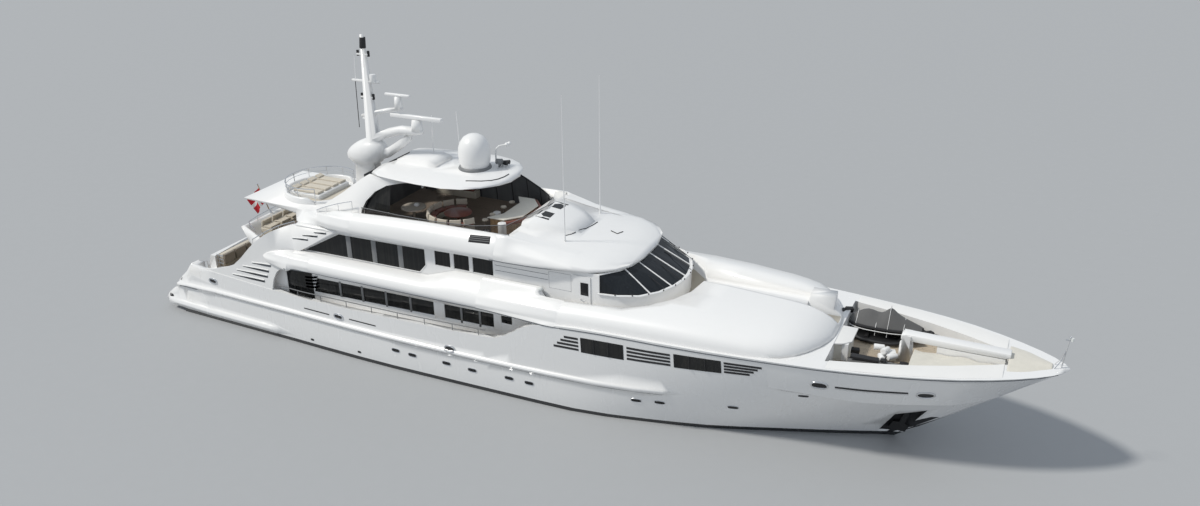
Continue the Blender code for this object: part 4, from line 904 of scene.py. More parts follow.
@dataclass
class Topsides:
    """The hull's paint, its ports, windows, fairleads, painted-shade groove lines and bow fittings."""

    ports: tuple = (
        (-9.2, 1.47), (-7.9, 1.42), (-5.3, 1.42), (-3.4, 1.36), (-0.75, 1.41), (0.65, 1.39),
        (7.6, 1.7), (9.0, 1.78), (13.2, 2.1),
    )
    fairleads: tuple = ((-25.2, 3.16), (-13.7, 2.95), (-4.9, 2.62), (18.0, 4.95), (23.3, 4.83))
    slots: tuple = ((-16.7, -14.5, 2.92), (-12.8, -10.6, 2.97))
    cap_out: tuple = ((18.0, 4.95), (22.0, 4.2), (25.0, 3.3), (27.5, 2.15), (29.0, 1.2))
    window_low: tuple = ((2.5, 4.45), (6.0, 4.54), (14.6, 4.88))
    window_high: tuple = ((2.5, 5.42), (6.0, 5.54), (14.6, 5.7))
    slat: float = 0.124
    groove: tuple = (
        (3.0, 5.82), (4.0, 5.88), (5.6, 5.96), (8.0, 6.0), (12.0, 6.0), (15.0, 6.02), (18.3, 6.03),
        (21.0, 6.06), (24.0, 6.1), (26.8, 6.12), (28.6, 6.14), (29.5, 6.16),
    )
    knuckle: tuple = ((14.8, 4.14), (16.4, 4.17), (18.0, 4.1), (19.5, 3.98), (22.5, 3.97), (26.8, 3.92))
    strake_start: float = 15.2
    strake_end: float = 27.0
    strake_top: float = 5.9
    strake_swell: float = 0.34

    def build(self, solids: Solids) -> None:
        """Builds everything on the hull."""
        self.skin(solids)
        for side in Side:
            self.strake(solids, side)
            self.openings(solids, side)
            self.windows(solids, side)
            self.lines(solids, side)
        self.bow()
        self.cap_rail()

    def skin(self, solids: Solids) -> None:
        """Paints the hull and its decks."""
        hull = solids.skin("hull", Looks.HULL, 30.0)
        repaint(hull, Looks.TEAK, lambda c, n: n.z > 0.9 and 2.585 < c.z < 2.62 and c.x < 1.0)
        # the foredeck well's inward walls get the darker white, as painted shade
        repaint(
            hull, Looks.WELL_WHITE,
            lambda c, n: abs(n.z) < 0.6 and 5.02 < c.z < 6.2 and c.x > 18.0 and n.y * c.y < 0.0,
        )
        repaint(hull, Looks.PALE_TEAK, lambda c, n: n.z > 0.9 and 4.9 < c.z < 5.1 and c.x > 18.0)
        # the anchor pockets' faces are painted black, as painted shade inside the recesses
        repaint(
            hull, Looks.BLACK,
            lambda c, n: 20.6 < c.x < 23.6 and 0.4 < c.z < 2.75 and (abs(n.y) < 0.05 or abs(c.y) < 0.4),
        )

    def swell(self, x: float, z: float) -> float:
        """How far the bow's upper strake stands off the flare, most at its knuckle."""
        edge, top = along(self.knuckle, x), self.strake_top
        if x < self.strake_start or z < edge - 0.01:
            return 0.0
        rise = min(1.0, (x - self.strake_start) / 5.0) * min(1.0, max(0.0, self.strake_end - x) / 2.5)
        return self.strake_swell * rise * max(0.0, (top - z) / (top - edge))

    def strake(self, solids: Solids, side: Side) -> None:
        """Adds the bow's upper strake, which ends in a knuckle over the flare."""
        rows = []
        for share in (-0.16, -0.03, 0.0, 0.03, 0.25, 0.5, 0.75, 1.0):
            row = []
            for x in spread(15.25, 26.9, 60):
                edge = along(self.knuckle, x)
                z = edge * (1.0 - share) + self.strake_top * share
                if share >= 0.0:
                    proud = self.swell(x, z)
                else:
                    proud = 0.6 * self.swell(x, edge) if share > -0.1 else 0.0
                row.append(solids.side("hull", x, z, side, proud + (0.004 if 0.0 <= share < 1.0 else -0.01)))
            rows.append(row)
        skin = Bench("bow_strake", side)
        skin.sheet(rows)
        skin.done(Looks.HULL, smooth=30.0)

    def openings(self, solids: Solids, side: Side) -> None:
        """Adds ports, outlets, fairleads and the long bow slot on one side."""
        glass = Bench("port_glass", side)
        rims = Bench("port_rims", side)
        for x, z in self.ports:
            ring = [solids.side("hull", a, b, side, 0.012) for a, b in oval(x, z, 0.62, 0.26)]
            glass.patch(ring)
            rims.tube(ring, 0.022, closed=True, fine=1)
        glass.done(Looks.GLASS)
        rims.done(Looks.STEEL)
        holes = Bench("fairlead_holes", side)
        bars = Bench("fairlead_rims", side)
        for x, z in self.fairleads:
            wide, tall = (0.86, 0.42) if x > 17.0 else (0.72, 0.34)
            spots = oval(x, z, wide, tall, 20, 0.8)
            ring = [solids.side("hull", a, b, side, 0.014 + self.swell(a, b)) for a, b in spots]
            holes.patch(ring)
            bars.tube(ring, 0.055, closed=True)
        for x0, x1, z in self.slots:
            xs = spread(x0, x1, 6)
            strip(holes, solids, "hull", side, [(x, z - 0.03) for x in xs], [(x, z + 0.03) for x in xs])
        xs = spread(18.8, 22.45, 8)
        for foot, head, bench in ((4.9, 5.0, holes), (4.8, 4.88, bars)):
            rows = []
            for z in (foot, head):
                rows.append([solids.side("hull", x, z, side, 0.014 + self.swell(x, z)) for x in xs])
            bench.sheet(rows, 0.012)
        for x, z, wide in ((17.1, 3.7, 0.55), (-16.4, 0.55, 0.3), (-12.3, 0.6, 0.3)):
            holes.patch([solids.side("hull", a, b, side, 0.012) for a, b in oval(x, z, wide, 0.14)])
        holes.done(Looks.BLACK)
        bars.done(Looks.STEEL)

    def windows(self, solids: Solids, side: Side) -> None:
        """Adds the two hull windows and the louvres round them."""
        glass = Bench("hull_window", side)
        for x0, x1 in ((4.35, 7.05), (10.05, 12.75)):
            low, high = ([(x, along(edge, x)) for x in spread(x0, x1, 7)]
                         for edge in (self.window_low, self.window_high))
            strip(glass, solids, "hull", side, low, high)
        glass.done(Looks.GLASS)
        frames = Bench("hull_window_bars", side)
        for x in (5.2, 6.1, 10.95, 11.85):
            a = solids.side("hull", x, along(self.window_low, x), side, 0.03)
            b = solids.side("hull", x, along(self.window_high, x), side, 0.03)
            frames.tube([a, b], 0.035, fine=1)
        frames.done(Looks.BLACK)
        louvres = Bench("hull_louvres", side)
        # the outer panels' ends lean forward, each by its own length
        for x0, x1, lean_aft, lean_fore in (
            (2.45, 4.2, 0.96, 0.0), (7.25, 9.85, 0.0, 0.0), (12.9, 14.2, 0.0, 0.9),
        ):
            for row in range(4):
                share = (row + 0.5) / 4
                low, high = [], []
                for x in spread(x0 + lean_aft * share, x1 + lean_fore * share, 6):
                    foot, head = along(self.window_low, x), along(self.window_high, x)
                    z = foot + (head - foot) * share
                    low.append((x, z - self.slat / 2))
                    high.append((x, z + self.slat / 2))
                strip(louvres, solids, "hull", side, low, high)
        louvres.done(Looks.BLACK)

    def lines(self, solids: Solids, side: Side) -> None:
        """Adds dark lines of painted shade: the groove under the bulwark and the shade under the rub rail."""
        line = Bench("bulwark_groove", side)
        xs = spread(3.0, 29.5, 40)
        # a dark tube, half sunk in the hull, paints the groove's shade
        line.tube([solids.side("hull", x, along(self.groove, x), side, 0.0) for x in xs], 0.035, fine=1)
        line.done(Looks.SHADOW)
        under = Bench("rub_rail_shadow", side)
        xs = spread(-28.6, 9.2, 50)
        path = [(x, 2.38 + 0.3 * max(0.0, (x + 4.0) / 13.6) ** 2 - 0.21) for x in xs]
        under.tube([solids.side("hull", x, z, side, 0.0) for x, z in path], 0.03, fine=1)
        under.done(Looks.SHADOW)

    def cap_rail(self) -> None:
        """Lays the smooth cap over the foredeck's bulwark."""
        for side in Side:
            cap = Bench("bulwark_cap", side)
            rows = []
            for share in spread(0.0, 1.0, 6):
                row = []
                for x in spread(18.3, 26.9, 26):
                    inner, outer = along(WELL_RIM, x) - 0.07, along(self.cap_out, x) - 0.16
                    y = side.value * (inner + (outer - inner) * share)
                    sheer = 0.1 * (x - 18.0) / 7.0 if x < 25.0 else 0.1 + 0.01 * (x - 25.0)
                    row.append((x, y, 6.15 + sheer + 0.012 + 0.03 * math.sin(math.pi * share)))
                if not rows:
                    rows.append([(x, y - side.value * 0.02, z - 0.55) for x, y, z in row])
                rows.append(row)
            cap.sheet(rows, 0.02)
            cap.done(Looks.DECK_WHITE, smooth=60.0)

    def bow(self) -> None:
        """Adds the jackstaff with its stays, and its lamp."""
        staff = Bench("jackstaff")
        staff.rod((29.62, 0.0, 6.27), (29.78, 0.0, 8.1), 0.035, 0.025)
        staff.ball((29.78, 0.0, 8.12), 0.06)
        staff.box((29.72, 0.0, 7.95), (0.3, 0.05, 0.05))
        for s in (1, -1):
            staff.tube([(29.3, s * 0.25, 6.3), (29.55, s * 0.12, 6.75), (29.68, 0.0, 7.3)], 0.02, fine=1)
        staff.done(Looks.STEEL)
        lamp = Bench("jackstaff_lamp")
        lamp.rod((29.9, 0.0, 7.92), (29.9, 0.0, 8.1), 0.07)
        lamp.done(Looks.LAMP)


@dataclass
class Stern:
    """The swim platform, stairs, transom door, stern wings and aft main deck."""

    slats: tuple = (
        ((-20.98, 5.42), (-19.25, 5.5)), ((-21.94, 4.98), (-19.51, 5.05)),
        ((-22.6, 4.55), (-19.69, 4.62)), ((-23.08, 4.12), (-20.05, 4.2)),
    )
    wing_slats: tuple = (
        ((-17.5, 7.64), (-16.2, 7.72)), ((-16.6, 8.0), (-15.35, 8.1)), ((-15.6, 8.36), (-14.6, 8.43)),
    )

    def build(self, solids: Solids, soft: Upholstery) -> None:
        """Builds the stern."""
        platform = solids.skin("swim_platform", Looks.HULL)
        repaint(platform, Looks.TEAK, lambda c, n: n.z > 0.9)
        for side in Side:
            stairs = solids.skin("stern_stairs_" + side.word, Looks.WHITE)
            repaint(stairs, Looks.TEAK, lambda c, n: n.z > 0.9)
            solids.skin("stern_wing_" + side.word, Looks.WHITE, 40.0)
            self.louvres(solids, side)
            self.rails(solids, side)
        solids.skin("transom_door", Looks.HULL)
        base = Bench("main_sofa_base")
        base.box((-25.6, 0.0, 2.8), (1.15, 4.55, 0.38))
        base.box((-26.68, 0.1, 3.3), (0.34, 4.7, 1.36))
        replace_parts(base.done(Looks.CREAM_DECK, bevel=0.05), "main_sofa")
        self.sofa(soft)
        self.door_trim()

    def louvres(self, solids: Solids, side: Side) -> None:
        """Lays the dark louvre strips of a wing, painted shade under each raised lip."""
        node = "stern_wing_" + side.word
        dark = Bench("wing_louvres", side)
        lips = Bench("wing_lips", side)
        for (x0, z0), (x1, z1) in self.slats + self.wing_slats:
            xs = spread(x0, x1, 6)
            tall = 0.075 if x1 < -19.0 else 0.05
            low, high, lip = [], [], []
            for x in xs:
                z = z0 + (z1 - z0) * (x - x0) / (x1 - x0)
                grow = 0.25 + 0.75 * min(1.0, (x - x0) / (x1 - x0) * 1.6)
                low.append((x, z - tall * grow))
                high.append((x, z + tall * grow))
                lip.append(solids.side(node, x, z + tall * grow + 0.02, side, 0.02))
            strip(dark, solids, node, side, low, high)
            lips.tube(lip, 0.035, fine=1)
        dark.done(Looks.SHADOW)
        lips.done(Looks.WHITE)

    def rails(self, solids: Solids, side: Side) -> None:
        """Adds the wing's hand rail, the stair rails and the dark slots in the hull beside them."""
        s = side.value
        rail = Bench("stern_rails", side)
        path = [(-20.6, 7.2), (-19.6, 7.82), (-18.4, 8.44), (-17.2, 8.86)]
        points = [(x, s * along(((-20.6, 4.9), (-19.4, 4.83), (-17.2, 4.36)), x), z) for x, z in path]
        rail.tube(points, 0.03)
        for x, y, z in points:
            rail.rod((x, y, z - 0.28), (x, y, z), 0.02)
        for y in (2.66, 3.55):
            bends = ((-29.55, 1.15), (-29.5, 1.8), (-28.2, 3.3), (-27.7, 3.45), (-27.6, 2.65))
            rail.tube([(x, s * y, z) for x, z in bends], 0.03)
        rail.done(Looks.STEEL)
        dark = Bench("stern_slots", side)
        for x, z in ((-28.75, 2.62), (-29.95, 1.05)):
            ring = [solids.side("hull", a, b, side, 0.012) for a, b in oval(x, z, 0.42, 0.2)]
            dark.patch(ring)
        dark.done(Looks.BLACK)

    def sofa(self, soft: Upholstery) -> None:
        """Upholsters the aft deck's sofa, with its rack at the end and a table before it."""
        for k, y in enumerate((-1.72, -0.57, 0.57, 1.72)):
            soft.cushion(f"main_seat_{k}", (-25.45, y, 3.08), (0.85, 1.12, 0.18), Looks.CUSHION)
            # the back cushions' brown is painted shade on their faces
            soft.cushion(
                f"main_back_{k}", (-26.42, y, 3.6), (0.92, 1.12, 0.2), Looks.BROWN, (0.0, -1.45, 0.0),
            )
        rack = Bench("sofa_rack")
        for z in (3.1, 3.4, 3.7, 4.0):
            rack.tube([(-26.86, -2.42, z), (-26.28, -2.42, z - 0.03)], 0.03, fine=1)
        for x in (-26.86, -26.28):
            rack.tube([(x, -2.42, 2.62), (x, -2.42, 4.05)], 0.035, fine=1)
        rack.done(Looks.STEEL)
        table = Bench("aft_table")
        half_plan = [(-24.3, -0.7), (-23.3, -0.95), (-22.4, -0.95), (-22.1, -0.6)]
        table.slab(half_plan + [(x, -y) for x, y in reversed(half_plan)], 3.28, 3.34, 0.02)
        table.rod((-23.2, 0.0, MAIN_DECK), (-23.2, 0.0, 3.28), 0.16, 0.1, 14)
        table.rod((-23.2, 0.0, MAIN_DECK), (-23.2, 0.0, 2.64), 0.4, 0.4, 18)
        table.done(Looks.OAK)

    def door_trim(self) -> None:
        """Adds the transom door's two handles, on the door's body."""
        handle = Bench("transom_door_handle")
        for y in (-0.5, 0.5):
            handle.tube([(-29.02, y, 1.25), (-29.1, y, 1.32), (-29.06, y, 1.5)], 0.025, fine=1)
        handle.done(Looks.STEEL, body="transom_door_leaf")


@dataclass
class MainDeck:
    """The main deck house, its glazing, doors, belts and side-deck rails."""

    mullions: tuple = (-14.1, -12.3, -10.4, -8.5, -4.66, -3.3)
    posts: tuple = (-15.2, -13.0, -10.9, -8.8, -6.7, -4.6, -2.7, -17.2)

    def build(self, solids: Solids) -> None:
        """Builds the main deck."""
        solids.skin("main_house", Looks.WHITE)
        for side in Side:
            solids.skin("main_glass_" + side.word, Looks.GLASS)
            solids.skin("belt_" + side.word, Looks.WHITE, 40.0)
            self.glazing(side)
            self.rails(side)
            self.belt_line(solids, side)
            self.saloon_door(solids, side)

    def glazing(self, side: Side) -> None:
        """Adds the mullions, the light panels and the curved blind of one side."""
        s = side.value
        bars = Bench("main_mullions", side)
        for x in self.mullions:
            bars.box((x, s * 4.27, 4.43), (0.16, 0.06, 1.12))
        bars.done(Looks.FRAME_GREY, bevel=0.01)
        panel = Bench("main_panels", side)
        panel.box((-6.3, s * 4.275, 4.43), (0.8, 0.07, 1.14))
        panel.box((-2.05, s * 4.275, 4.45), (0.5, 0.07, 1.1))
        panel.done(Looks.WHITE, bevel=0.01)
        small = Bench("main_small_window", side)
        small.box((-1.37, s * 4.29, 4.76), (0.75, 0.03, 0.5))
        small.done(Looks.GLASS, bevel=0.01)
        # the blind's pale colour is partly painted light against the belt's shade
        blind = Bench("main_blind", side)
        for k in range(4):
            z = 4.05 + 0.24 * k
            row = [(x, s * 4.31, z + 0.14 * (x + 17.0) ** 2) for x in spread(-17.0, -15.95, 5)]
            blind.sheet([row, [(x, y, z + 0.13) for x, y, z in row]], 0.012)
        blind.done(Looks.BLIND)
        wall = Bench("side_deck_wall", side)
        wall.box((-19.3, s * 4.33, 3.95), (1.5, 0.06, 2.7))
        wall.done(Looks.WHITE, bevel=0.02)
        dark = Bench("side_door_glass", side)
        dark.box((-17.575, s * 4.26, 3.92), (2.25, 0.06, 2.6))
        dark.done(Looks.GLASS, bevel=0.01)

    def bulwark(self, x: float, side: Side, over: float) -> Point:
        """A point over the side deck's bulwark."""
        z = along(((-20.0, 3.7), (-16.7, 3.64), (-9.0, 3.85), (-2.5, 4.06), (-1.5, 4.15)), x)
        return (x, side.value * along(((-20.0, 4.86), (-8.0, 5.42), (0.0, 5.58)), x), z + over)

    def rails(self, side: Side) -> None:
        """Adds the side deck's hand rail, on posts along the bulwark."""
        rail = Bench("bulwark_rail", side)
        rail.tube([self.bulwark(x, side, HIP_RAIL) for x in spread(-18.9, -2.2, 30)], 0.032)
        for x in self.posts:
            rail.rod(self.bulwark(x, side, -0.02), self.bulwark(x, side, HIP_RAIL), 0.024)
        rail.done(Looks.FRAME_GREY)

    def belt_line(self, solids: Solids, side: Side) -> None:
        """Adds a dark line of painted shade for the groove along the belt's foot."""
        node = "belt_" + side.word
        line = Bench("belt_groove", side)
        path = [
            (-17.6, 5.74), (-18.0, 5.74), (-16.0, 5.74), (-12.0, 5.75), (-8.0, 5.76), (-5.0, 5.77),
            (-3.1, 5.8),
        ]
        line.tube([solids.side(node, x, z, side, 0.0) for x, z in path], 0.03, fine=1)
        line.done(Looks.SHADOW)

    def saloon_door(self, solids: Solids, side: Side) -> None:
        """Glazes one leaf of the saloon door, with its frame and handle."""
        s = side.value
        node = "saloon_door_" + side.word
        solids.skin(node, Looks.GLASS)
        frame = Bench("saloon_door_frame", side)
        for y in (0.07, 1.6):
            frame.box((-17.375, s * y, 3.8), (0.03, 0.1, 2.36))
        for z in (2.68, 4.93):
            frame.box((-17.375, s * 0.84, z), (0.03, 1.6, 0.12))
        bends = ((-17.39, 3.3), (-17.45, 3.35), (-17.45, 4.1), (-17.39, 4.15))
        frame.tube([(x, s * 0.2, z) for x, z in bends], 0.02, fine=1)
        frame.done(Looks.STEEL, body=node + "_leaf", bevel=0.006)


@dataclass
class UpperDeck:
    """The upper deck with its house, bridge, aft seats and ensign."""

    sill: tuple = ((4.8, 4.18), (6.0, 4.03), (7.2, 3.55), (8.05, 2.6), (8.55, 1.4), (8.72, 0.45))
    head: tuple = ((4.8, 4.18), (5.2, 3.72), (5.65, 3.12), (6.0, 2.3), (6.18, 1.3), (6.24, 0.45))

    def build(self, solids: Solids, soft: Upholstery) -> None:
        """Builds the upper deck."""
        deck = solids.skin("upper_deck", Looks.WHITE, 40.0)
        repaint(deck, Looks.TEAK, lambda c, n: n.z > 0.9 and 6.0 < c.z < 6.2)
        solids.skin("upper_house", Looks.WHITE, 30.0)
        solids.skin("bridge_glass", Looks.BRIDGE_GLASS, 20.0)
        for side in Side:
            solids.skin("upper_glass_aft_" + side.word, Looks.GLASS)
            solids.skin("upper_glass_fore_" + side.word, Looks.GLASS)
            self.glazing(side)
            self.bridge_side(solids, side)
        self.bridge_front()
        self.aft_door(solids)
        self.aft_seats(solids, soft)
        self.aft_rail()
        self.ensign(solids)

    def glazing(self, side: Side) -> None:
        """Adds the mullions and the rims of the upper windows."""
        s = side.value
        bars = Bench("upper_mullions", side)
        for x in (-13.05, -11.05, -9.0):
            bars.box((x, s * 4.15, 7.65), (0.36, 0.05, 1.66))
        bars.done(Looks.FRAME_GREY, bevel=0.01)
        fore = Bench("upper_fore_mullions", side)
        for x in (-5.13, -3.77):
            fore.box((x, s * 4.16, 8.05), (0.26, 0.07, 1.08))
        fore.done(Looks.WHITE, bevel=0.012)
        rim = Bench("upper_rims", side)
        outline = [(-16.75, 6.83), (-7.6, 6.85), (-7.1, 7.4), (-7.1, 8.5), (-13.75, 8.45)]
        rim.tube([(x, s * 4.185, z) for x, z in outline], 0.03, closed=True, fine=1)
        rim.done(Looks.WHITE)

    def bridge_side(self, solids: Solids, side: Side) -> None:
        """Adds the side door, the recess that it slides over, dark lines of painted shade round the recess
        and along the joints, and the side lamp.
        """
        s = side.value
        body = "bridge_door_" + side.word + "_leaf"
        leaf = solids.skin("bridge_door_" + side.word, Looks.WHITE)
        # the leaf's inner face is moved out, so that it slides clear of the recess
        for vert in leaf.data.vertices:
            if abs(vert.co.y) < 4.2 * MODEL_SCALE:
                vert.co.y = s * 4.194 * MODEL_SCALE
        window = Bench("bridge_door_window", side)
        window.box((3.97, s * 4.25, 7.86), (0.5, 0.03, 0.8))
        window.done(Looks.GLASS, body=body, bevel=0.02)
        handle = Bench("bridge_door_handle", side)
        handle.tube(
            [(3.75, s * 4.25, 7.2), (3.75, s * 4.33, 7.16), (3.98, s * 4.33, 7.08), (4.1, s * 4.33, 7.18)],
            0.022, fine=1,
        )
        handle.done(Looks.STEEL, body=body)
        recess = Bench("bridge_recess", side)
        for z in spread(7.55, 8.5, 12):
            recess.box((2.35, s * 4.17, z), (1.35, 0.03, 0.06))
        recess.done(Looks.WHITE)
        # the recess's outline and the joint lines are dark lines of painted shade
        frame = Bench("bridge_recess_frame", side)
        corners = ((1.62, 7.5), (1.62, 8.58), (3.08, 8.58), (3.08, 7.5))
        frame.tube([(x, s * 4.158, z) for x, z in corners], 0.028, closed=True, fine=1)
        frame.done(Looks.SHADOW)
        lines = Bench("upper_joint_lines", side)
        for z in (7.98, 8.32):
            lines.tube([(-2.05, s * 4.182, z), (1.55, s * 4.182, z + 0.02)], 0.012, fine=1)
        lines.done(Looks.SHADOW)
        lamp = Bench("side_lamp", side)
        lamp.ball((1.15, s * 4.42, 7.42), 0.14, (1.2, 0.8, 1.0))
        lamp.done(Looks.LAMP)

    def bridge_front(self) -> None:
        """Adds the raked mullions, sill, studs and wipers round the bridge."""
        bars = Bench("bridge_mullions")
        for foot, top in (
            ((7.66, 3.05), (5.84, 2.72)), ((8.47, 1.62), (6.13, 1.45)), ((8.75, 0.0), (6.26, 0.0)),
        ):
            for s in (1, -1) if foot[1] else (1,):
                bars.rod((foot[0], s * foot[1], 7.72), (top[0], s * top[1], 8.9), 0.045, 0.045, 8)
        for s in (1, -1):
            bars.box((4.86, s * 4.19, 8.3), (0.12, 0.07, 1.18))
        bars.done(Looks.WHITE)
        sill = Bench("bridge_sill")
        sill.tube([(x + 0.03, y * 1.01, 7.72) for x, y in self.sill_loop()], 0.06)
        sill.done(Looks.WHITE)
        studs = Bench("bridge_studs")
        for k, (x, y) in enumerate(self.ring_points(14)):
            if 0 < k < 13:
                studs.box((x + 0.08, y * 1.02, 7.8), (0.06, 0.06, 0.1), (0.0, 0.0, math.atan2(y, x)))
        studs.done(Looks.BLACK, bevel=0.02)
        wipers = Bench("bridge_wipers")
        for y in (-2.3, -0.8, 0.8, 2.3):
            foot_x = along(tuple(sorted((b, a) for a, b in self.sill)), abs(y))
            head_x = along(tuple(sorted((b, a) for a, b in self.head)), abs(y))
            a = (foot_x + 0.07, y, 7.85)
            b = (head_x + (foot_x - head_x) * 0.35 + 0.09, y + 0.35, 8.45)
            wipers.tube([a, b], 0.016, fine=1)
            wipers.tube(
                [(b[0] + 0.12, b[1], b[2] - 0.1), (b[0] - 0.3, b[1] + 0.02, b[2] + 0.16)], 0.02, fine=1,
            )
        wipers.done(Looks.BLACK)

    def sill_loop(self) -> list[Flat]:
        """The sill's corners, port to starboard."""
        return list(self.sill) + [(x, -y) for x, y in reversed(self.sill)]

    def ring_points(self, count: int) -> list[Flat]:
        """Even points along the sill, port to starboard."""
        loop = self.sill_loop()
        lengths = [0.0]
        for (x0, y0), (x1, y1) in zip(loop, loop[1:]):
            lengths.append(lengths[-1] + math.hypot(x1 - x0, y1 - y0))
        spots = []
        for step in spread(0.0, lengths[-1], count):
            spots.append(tuple(along([(a, p[k]) for a, p in zip(lengths, loop)], step) for k in (0, 1)))
        return spots

    def aft_door(self, solids: Solids) -> None:
        """Glazes the upper aft door, with its frame and its two handles."""
        solids.skin("upper_aft_door", Looks.GLASS)
        frame = Bench("upper_aft_door_frame")
        for y in (-1.5, 0.0, 1.5):
            frame.box((-17.275, y, 7.24), (0.03, 0.1, 2.22))
        for z in (6.2, 8.28):
            frame.box((-17.275, 0.0, z), (0.03, 3.08, 0.12))
        for y in (-0.16, 0.16):
            frame.tube(
                [(-17.28, y, 6.9), (-17.35, y, 6.95), (-17.35, y, 7.5), (-17.28, y, 7.55)], 0.02, fine=1,
            )
        frame.done(Looks.STEEL, body="upper_aft_door_leaf", bevel=0.006)

    def aft_seats(self, solids: Solids, soft: Upholstery) -> None:
        """Upholsters the aft settee and sets a table and seats before it."""
        solids.skin("upper_sofa", Looks.CREAM_DECK, 60.0, 0.05)
        for k, y in enumerate((-1.65, -0.55, 0.55, 1.65)):
            soft.cushion(f"upper_seat_{k}", (-21.82, y, 6.84), (0.76, 1.06, 0.16), Looks.CUSHION)
            soft.cushion(
                f"upper_back_{k}", (-22.3, y, 7.05), (0.5, 1.06, 0.14), Looks.CUSHION, (0.0, -1.3, 0.0),
            )
        table = Bench("upper_table")
        half_plan = [(-20.9, -1.5), (-20.6, -1.7), (-19.9, -1.7), (-19.6, -1.5)]
        table.slab(half_plan + [(x, -y) for x, y in reversed(half_plan)], 6.82, 6.88, 0.02)
        for y in (-1.0, 1.0):
            table.rod((-20.25, y, UPPER_DECK), (-20.25, y, 6.82), 0.12, 0.08, 12)
        table.done(Looks.OAK)
        for side in Side:
            s, letter = side.value, side.word[0]
            base = Bench("side_settee", side)
            base.box((-19.4, s * 3.35, 6.3), (2.6, 0.75, 0.4))
            base.done(Looks.CREAM_DECK, bevel=0.06)
            for k, x in enumerate((-20.25, -19.4, -18.55)):
                seat, back = (x, s * 3.3, 6.58), (x, s * 3.66, 6.85)
                lean = (s * 1.3, 0.0, 0.0)
                soft.cushion(f"side_seat_{letter}{k}", seat, (0.82, 0.7, 0.16), Looks.CUSHION)
                soft.cushion(f"side_back_{letter}{k}", back, (0.82, 0.45, 0.14), Looks.CUSHION, lean)

    def aft_rail(self) -> None:
        """Adds the rail along the aft bulwark."""
        rail = Bench("upper_aft_rail")
        plan = [(-21.5, 3.65), (-22.3, 3.2), (-22.9, 2.7), (-23.15, 1.6), (-23.25, 0.0)]
        loop = plan + [(x, -y) for x, y in reversed(plan[:-1])]
        rail.tube([(x, y, 7.32) for x, y in loop], 0.032)
        for x, y in loop:
            rail.rod((x, y, 6.93), (x, y, 7.32), 0.022)
        rail.done(Looks.STEEL)

    def ensign(self, solids: Solids) -> None:
        """Flies a plain red ensign with a white cross from its staff."""
        solids.skin("ensign_staff", Looks.OAK)
        cap = Bench("ensign_staff_cap")
        cap.ball((-24.26, 0.0, 9.04), 0.07)
        cap.rod((-23.37, 0.0, 6.96), (-23.45, 0.0, 7.18), 0.075, 0.06)
        cap.done(Looks.STEEL)
        hoist, fly = 0.95, 1.3
        rows = []
        for i in range(13):
            v = i / 12
            row = []
            gather = 0.3 + 0.2 * v
            height = 8.75 - hoist * (1 - v)
            lean = -24.25 + (9.0 - height) * 0.415
            for j in range(19):
                u = j / 18
                sway = 0.1 * math.sin(u * 9.0 + v * 1.6) * min(1.0, u * 3.0)
                row.append((lean - 0.05 - u * fly * (gather * 0.75 + 0.35), sway - u * fly * gather * 0.4,
                            height - fly * u * (0.82 - 0.1 * v)))
            rows.append(row)
        flag = Bench("ensign")
        flag.sheet(rows)
        piece = flag.done(Looks.ENSIGN)
        layer = piece.data.uv_layers.new(name="sheet")
        spots = {}
        for i, row in enumerate(rows):
            for j, point in enumerate(row):
                spots[tuple(round(c, 4) for c in half(point))] = (j / 18, i / 12)
        for loop in piece.data.loops:
            key = tuple(round(c, 4) for c in piece.data.vertices[loop.vertex_index].co)
            layer.data[loop.index].uv = spots.get(key, (0.0, 0.0))


@dataclass
class Fairing:
    """A smooth cover that leads one moulding's section over into the next."""

    name: str
    nodes: tuple
    middle: Flat
    ends: Flat
    sweep: Flat
    nose: bool = False
    foot: bool = True

    def reach(self, solids: Solids, side: Side, x: float, angle: float) -> float:
        """How far the solids stand out from the middle line at one angle."""
        out = Vector((0.0, side.value * math.cos(angle), math.sin(angle)))
        far = 2.0
        start = half((x, side.value * self.middle[0], self.middle[1])) + out * far
        hits = [solids.tree(node.replace("SIDE", side.word)).ray_cast(start, -out)[0] for node in self.nodes]
        return max([(far - (start - spot).length) / MODEL_SCALE for spot in hits if spot] + [0.0])

    def build(self, solids: Solids, side: Side) -> None:
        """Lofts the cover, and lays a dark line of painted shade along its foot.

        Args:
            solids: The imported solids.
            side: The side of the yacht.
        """
        angles = [math.radians(a) for a in spread(*self.sweep, 25)]
        xs = spread(*self.ends, 33)
        real = [[self.reach(solids, side, x, a) for a in angles] for x in xs]
        rows = []
        for i in range(len(xs)):
            share = i / (len(xs) - 1)
            ease = share * share * (3 - 2 * share)
            round_off = (1.0 - (1.0 - min(1.0, share * 1.7)) ** 3) ** 0.4
            goal = [b * round_off if self.nose else a + (b - a) * ease for a, b in zip(real[0], real[-1])]
            rows.append([max(r, g) for r, g in zip(real[i], goal)])
        for _ in range(6):
            for i in range(1, len(xs) - 1):
                near = zip(real[i], rows[i - 1], rows[i], rows[i + 1])
                rows[i] = [max(r, (a + 2 * b + c) / 4) for r, a, b, c in near]
        middle, height = self.middle
        grid = []
        for i, (x, row) in enumerate(zip(xs, rows)):
            sink = 0.015 - 0.035 * max(0.0, (i - 29) / 3, (3 - i) / 3 * (not self.nose))
            grid.append([
                (x, side.value * (middle + (r + sink) * math.cos(a)), height + (r + sink) * math.sin(a))
                for r, a in zip(row, angles)
            ])
        cover = Bench(self.name, side)
        cover.sheet(grid)
        cover.done(Looks.WHITE, smooth=75.0)
        if self.foot and not self.nose:
            seam = Bench(self.name + "_seam", side)
            seam.tube([row[0] for row in grid], 0.03, fine=1)
            seam.done(Looks.SHADOW)


